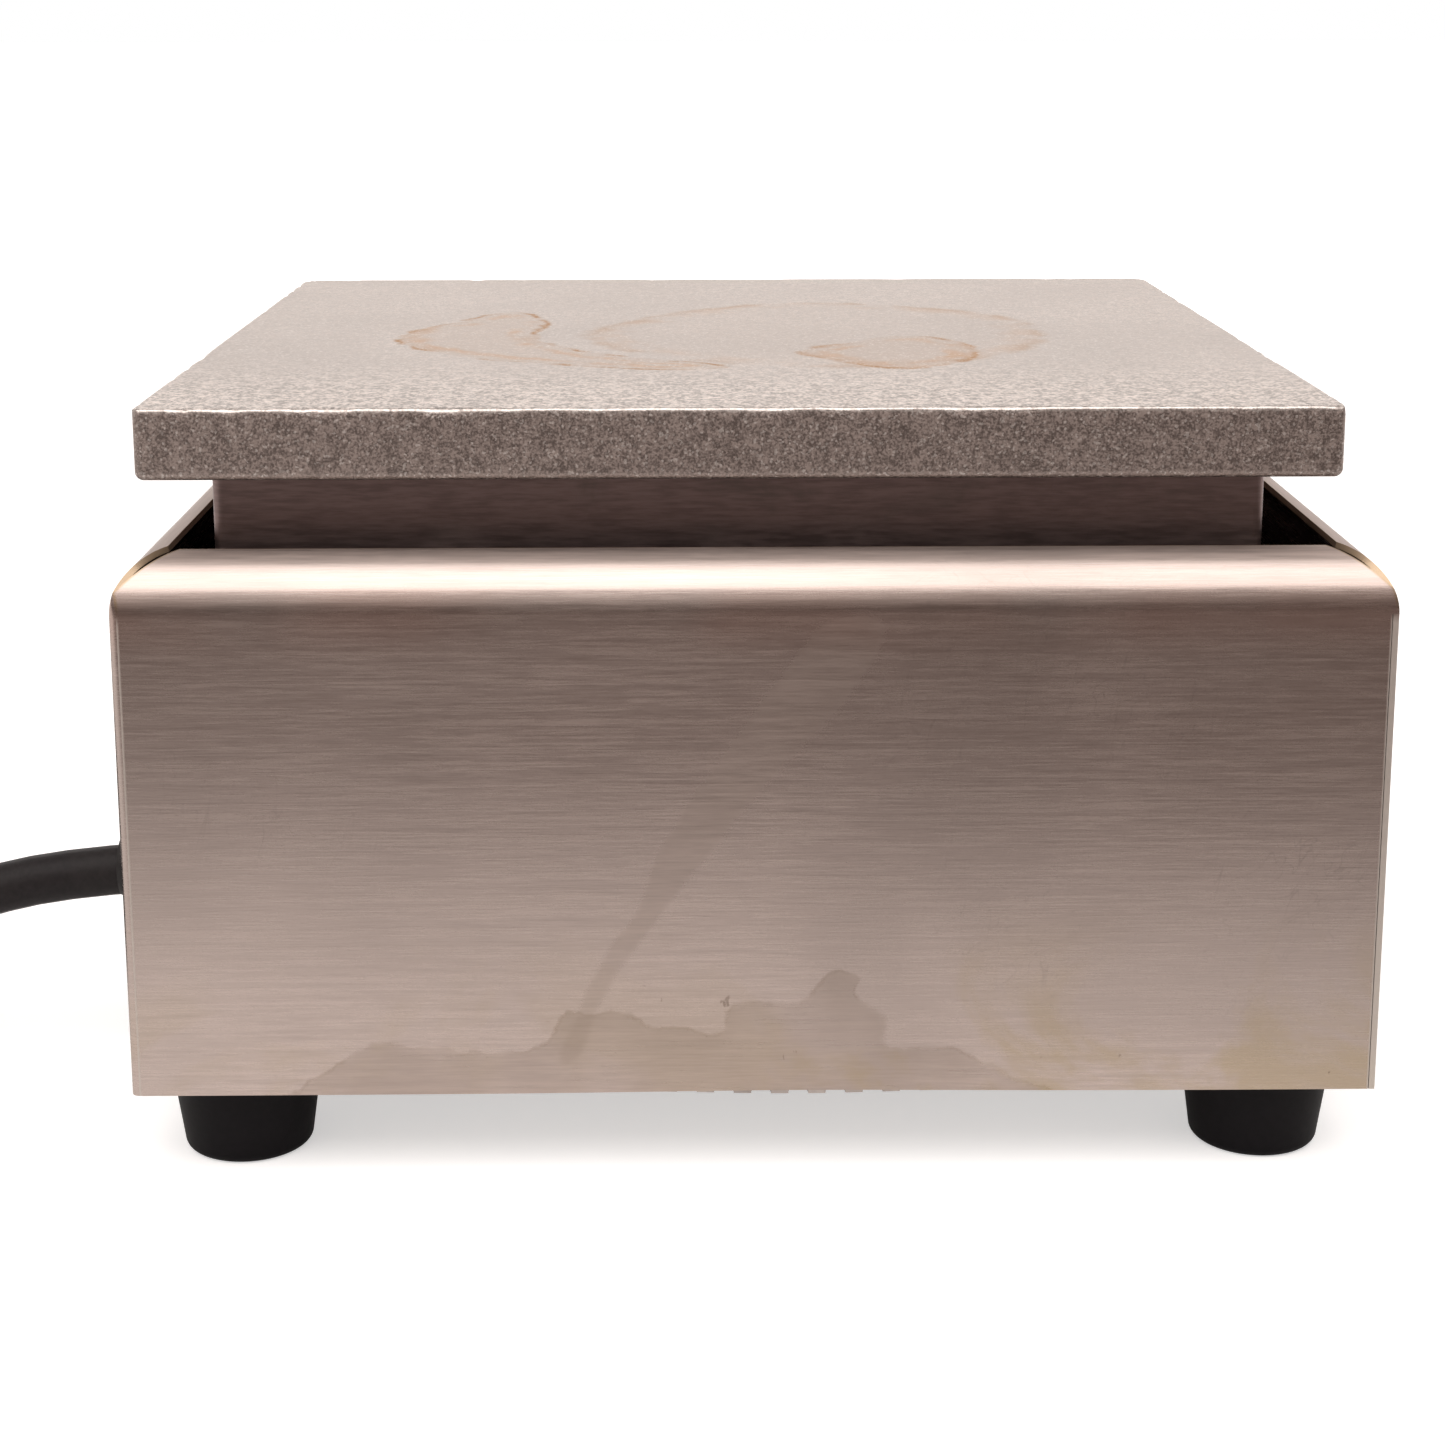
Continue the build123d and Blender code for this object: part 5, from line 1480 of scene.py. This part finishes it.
@dataclass
class Studio:
    """Camera, pale floor and soft lights."""

    eye: Colour = (-0.01608, -0.41818, 0.15809)
    pitch_deg: float = 11.827
    yaw_deg: float = 0.658
    roll_deg: float = -0.070
    lens: float = 65.355
    shift_y: float = -0.1222
    world: Colour = (0.15, 0.118, 0.105)
    front_sky: Colour = (0.85, 0.77, 0.73)
    # Floor colour in reflections on the camera side: painted shade.
    dark_floor: Colour = (0.17, 0.14, 0.13)
    seen_floor: Colour = (0.86, 0.855, 0.85)
    floor_turn_deg: float = -12.0

    def camera(self) -> None:
        """Camera whose axes come from the three angles."""
        pitch, yaw, roll = (math.radians(v) for v in (self.pitch_deg, self.yaw_deg, self.roll_deg))
        ahead = Vector((math.sin(yaw) * math.cos(pitch), math.cos(yaw) * math.cos(pitch), -math.sin(pitch)))
        right = Vector((math.cos(yaw), -math.sin(yaw), 0.0))
        up = right.cross(ahead)
        rolled_right = math.cos(roll) * right + math.sin(roll) * up
        rolled_up = math.cos(roll) * up - math.sin(roll) * right
        data = bpy.data.cameras.new("camera")
        data.sensor_width = 36.0
        data.lens = self.lens
        data.shift_y = self.shift_y
        data.clip_start, data.clip_end = 0.02, 60.0
        made = bpy.data.objects.new("camera", data)
        axes = Matrix((rolled_right, rolled_up, -ahead)).transposed().to_4x4()
        made.matrix_world = Matrix.Translation(self.eye) @ axes
        bpy.context.scene.collection.objects.link(made)
        bpy.context.scene.camera = made

    def floor(self) -> None:
        """Large pale sheet, white to the camera; in reflections it is dark in front, a painted shade, and
        glows behind, a painted light.
        """
        span = np.array([-9.0, -2.0, -0.5, 0.5, 2.0, 9.0])
        x, y = np.meshgrid(span, span)
        grid = np.stack([x, y, 0.0 * x], -1)
        piece = skin(grid).piece("studio_floor")
        made = bpy.data.materials.new("studio_floor")
        made.use_nodes = True
        g = Graph(made.node_tree)
        shader = made.node_tree.nodes["Principled BSDF"]
        place = g.node("ShaderNodeTexCoord").outputs["Object"]
        turn = (0.0, 0.0, math.radians(self.floor_turn_deg))
        swung = g.node("ShaderNodeMapping", {"Vector": place, "Rotation": turn}).outputs[0]
        # Painted shade: in reflections the floor darkens toward the camera side.
        painted_front_shade = g.ramp(g.axes(swung)[1], -0.11, -0.32)
        backward = g.axes(place)[1]
        paper = g.noise(place, 400.0, 3.0)
        pale = g.blend(g.ramp(paper, 0.3, 0.7), (0.76, 0.752, 0.745), (0.79, 0.785, 0.776))
        seen = g.node("ShaderNodeLightPath").outputs["Is Camera Ray"]
        colour = g.blend(seen, g.blend(painted_front_shade, pale, self.dark_floor), self.seen_floor)
        g.tree.links.new(colour, shader.inputs["Base Color"])
        shader.inputs["Roughness"].default_value = 0.8
        shader.inputs["Specular IOR Level"].default_value = 0.1
        shader.inputs["Emission Strength"].default_value = 1.0
        # Painted light: the floor's emission glows behind the object in reflections, and it is black in the
        # painted shade.
        glow = g.blend(painted_front_shade, g.blend(g.ramp(backward, 0.1, 0.6), (0.12, 0.12, 0.12), WHITE), BLACK)
        seen_glow = g.blend(g.ramp(backward, 0.5, 1.2), (0.5, 0.5, 0.5), WHITE)
        g.tree.links.new(g.blend(seen, glow, seen_glow), shader.inputs["Emission Color"])
        piece.data.materials.append(made)

    def light(
        self, name: str, place: Colour, aim: Colour, size: tuple[float, float], power: float, colour: Colour
    ) -> None:
        """Rectangular soft light.

        Args:
            name: Name of the light.
            place: Its middle.
            aim: Point that it faces.
            size: Its width and height.
            power: Its power in watts.
            colour: Its colour.
        """
        data = bpy.data.lights.new(name, "AREA")
        data.shape = "RECTANGLE"
        data.size, data.size_y = size
        data.energy = power
        data.color = colour
        made = bpy.data.objects.new(name, data)
        turn = (Vector(aim) - Vector(place)).to_track_quat("-Z", "Y").to_matrix().to_4x4()
        made.matrix_world = Matrix.Translation(place) @ turn
        bpy.context.scene.collection.objects.link(made)

    def room(self) -> None:
        """World: white to the camera, and in reflections a dim room.

        Its sky in front (-Y) eases in upwards and toward the middle, and both sides have a softer one.
        """
        world = bpy.data.worlds.new("room")
        world.use_nodes = True
        g = Graph(world.node_tree)
        x, y, z = g.axes(g.node("ShaderNodeTexCoord").outputs["Object"])
        ahead = g.times(g.ramp(y, 0.0, -0.4), g.ramp(z, 0.0, 0.5))
        ahead = g.times(ahead, g.ramp(x, 0.22, 0.02, 0.35, 1.0))
        sides = g.times(g.ramp(g.math("ABSOLUTE", x), 0.45, 0.85), g.ramp(z, 0.0, 0.35))
        sky = g.math("MAXIMUM", ahead, g.times(sides, 0.65))
        seen = g.node("ShaderNodeLightPath").outputs["Is Camera Ray"]
        tone = g.blend(seen, g.blend(sky, self.world, self.front_sky), WHITE)
        g.tree.links.new(tone, world.node_tree.nodes["Background"].inputs["Color"])
        bpy.context.scene.world = world

    def build(self) -> None:
        """Everything that isn't the object."""
        self.camera()
        self.floor()
        self.room()
        bpy.context.scene.view_settings.view_transform = "Standard"
        overhead, overhead_aim = (0.0, -0.55, 1.05), (0.0, -0.35, 0.0)
        self.light("overhead", overhead, overhead_aim, (2.4, 1.25), 17.6, (1.0, 0.97, 0.95))
        sweep, sweep_aim = (0.0, 2.2, 1.15), (0.0, 0.0, 0.1)
        self.light("sweep", sweep, sweep_aim, (4.0, 1.4), 24.0, (1.0, 0.98, 0.96))


def main() -> None:
    """Build the object and its studio."""
    logging.basicConfig(level=logging.INFO, format="%(name)s %(message)s")
    Studio().build()
    wardrobe = Wardrobe(FINISHES)
    wardrobe.dress_nodes(frame["nodes"])
    cord_sizes = PowerCord()
    cord = cord_sizes.build(wardrobe)
    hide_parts("cord_tube", "cord_tail", "cord_coil")
    grip = Plug().build(wardrobe)
    bush = StrainRelief().build(wardrobe)
    tie = CordTie().build(wardrobe)
    HeatingPlate().build(wardrobe)
    Housing().build(wardrobe)
    WallScrews().build(wardrobe)
    DialMarks().build(wardrobe)


if __name__ == "__main__":
    main()
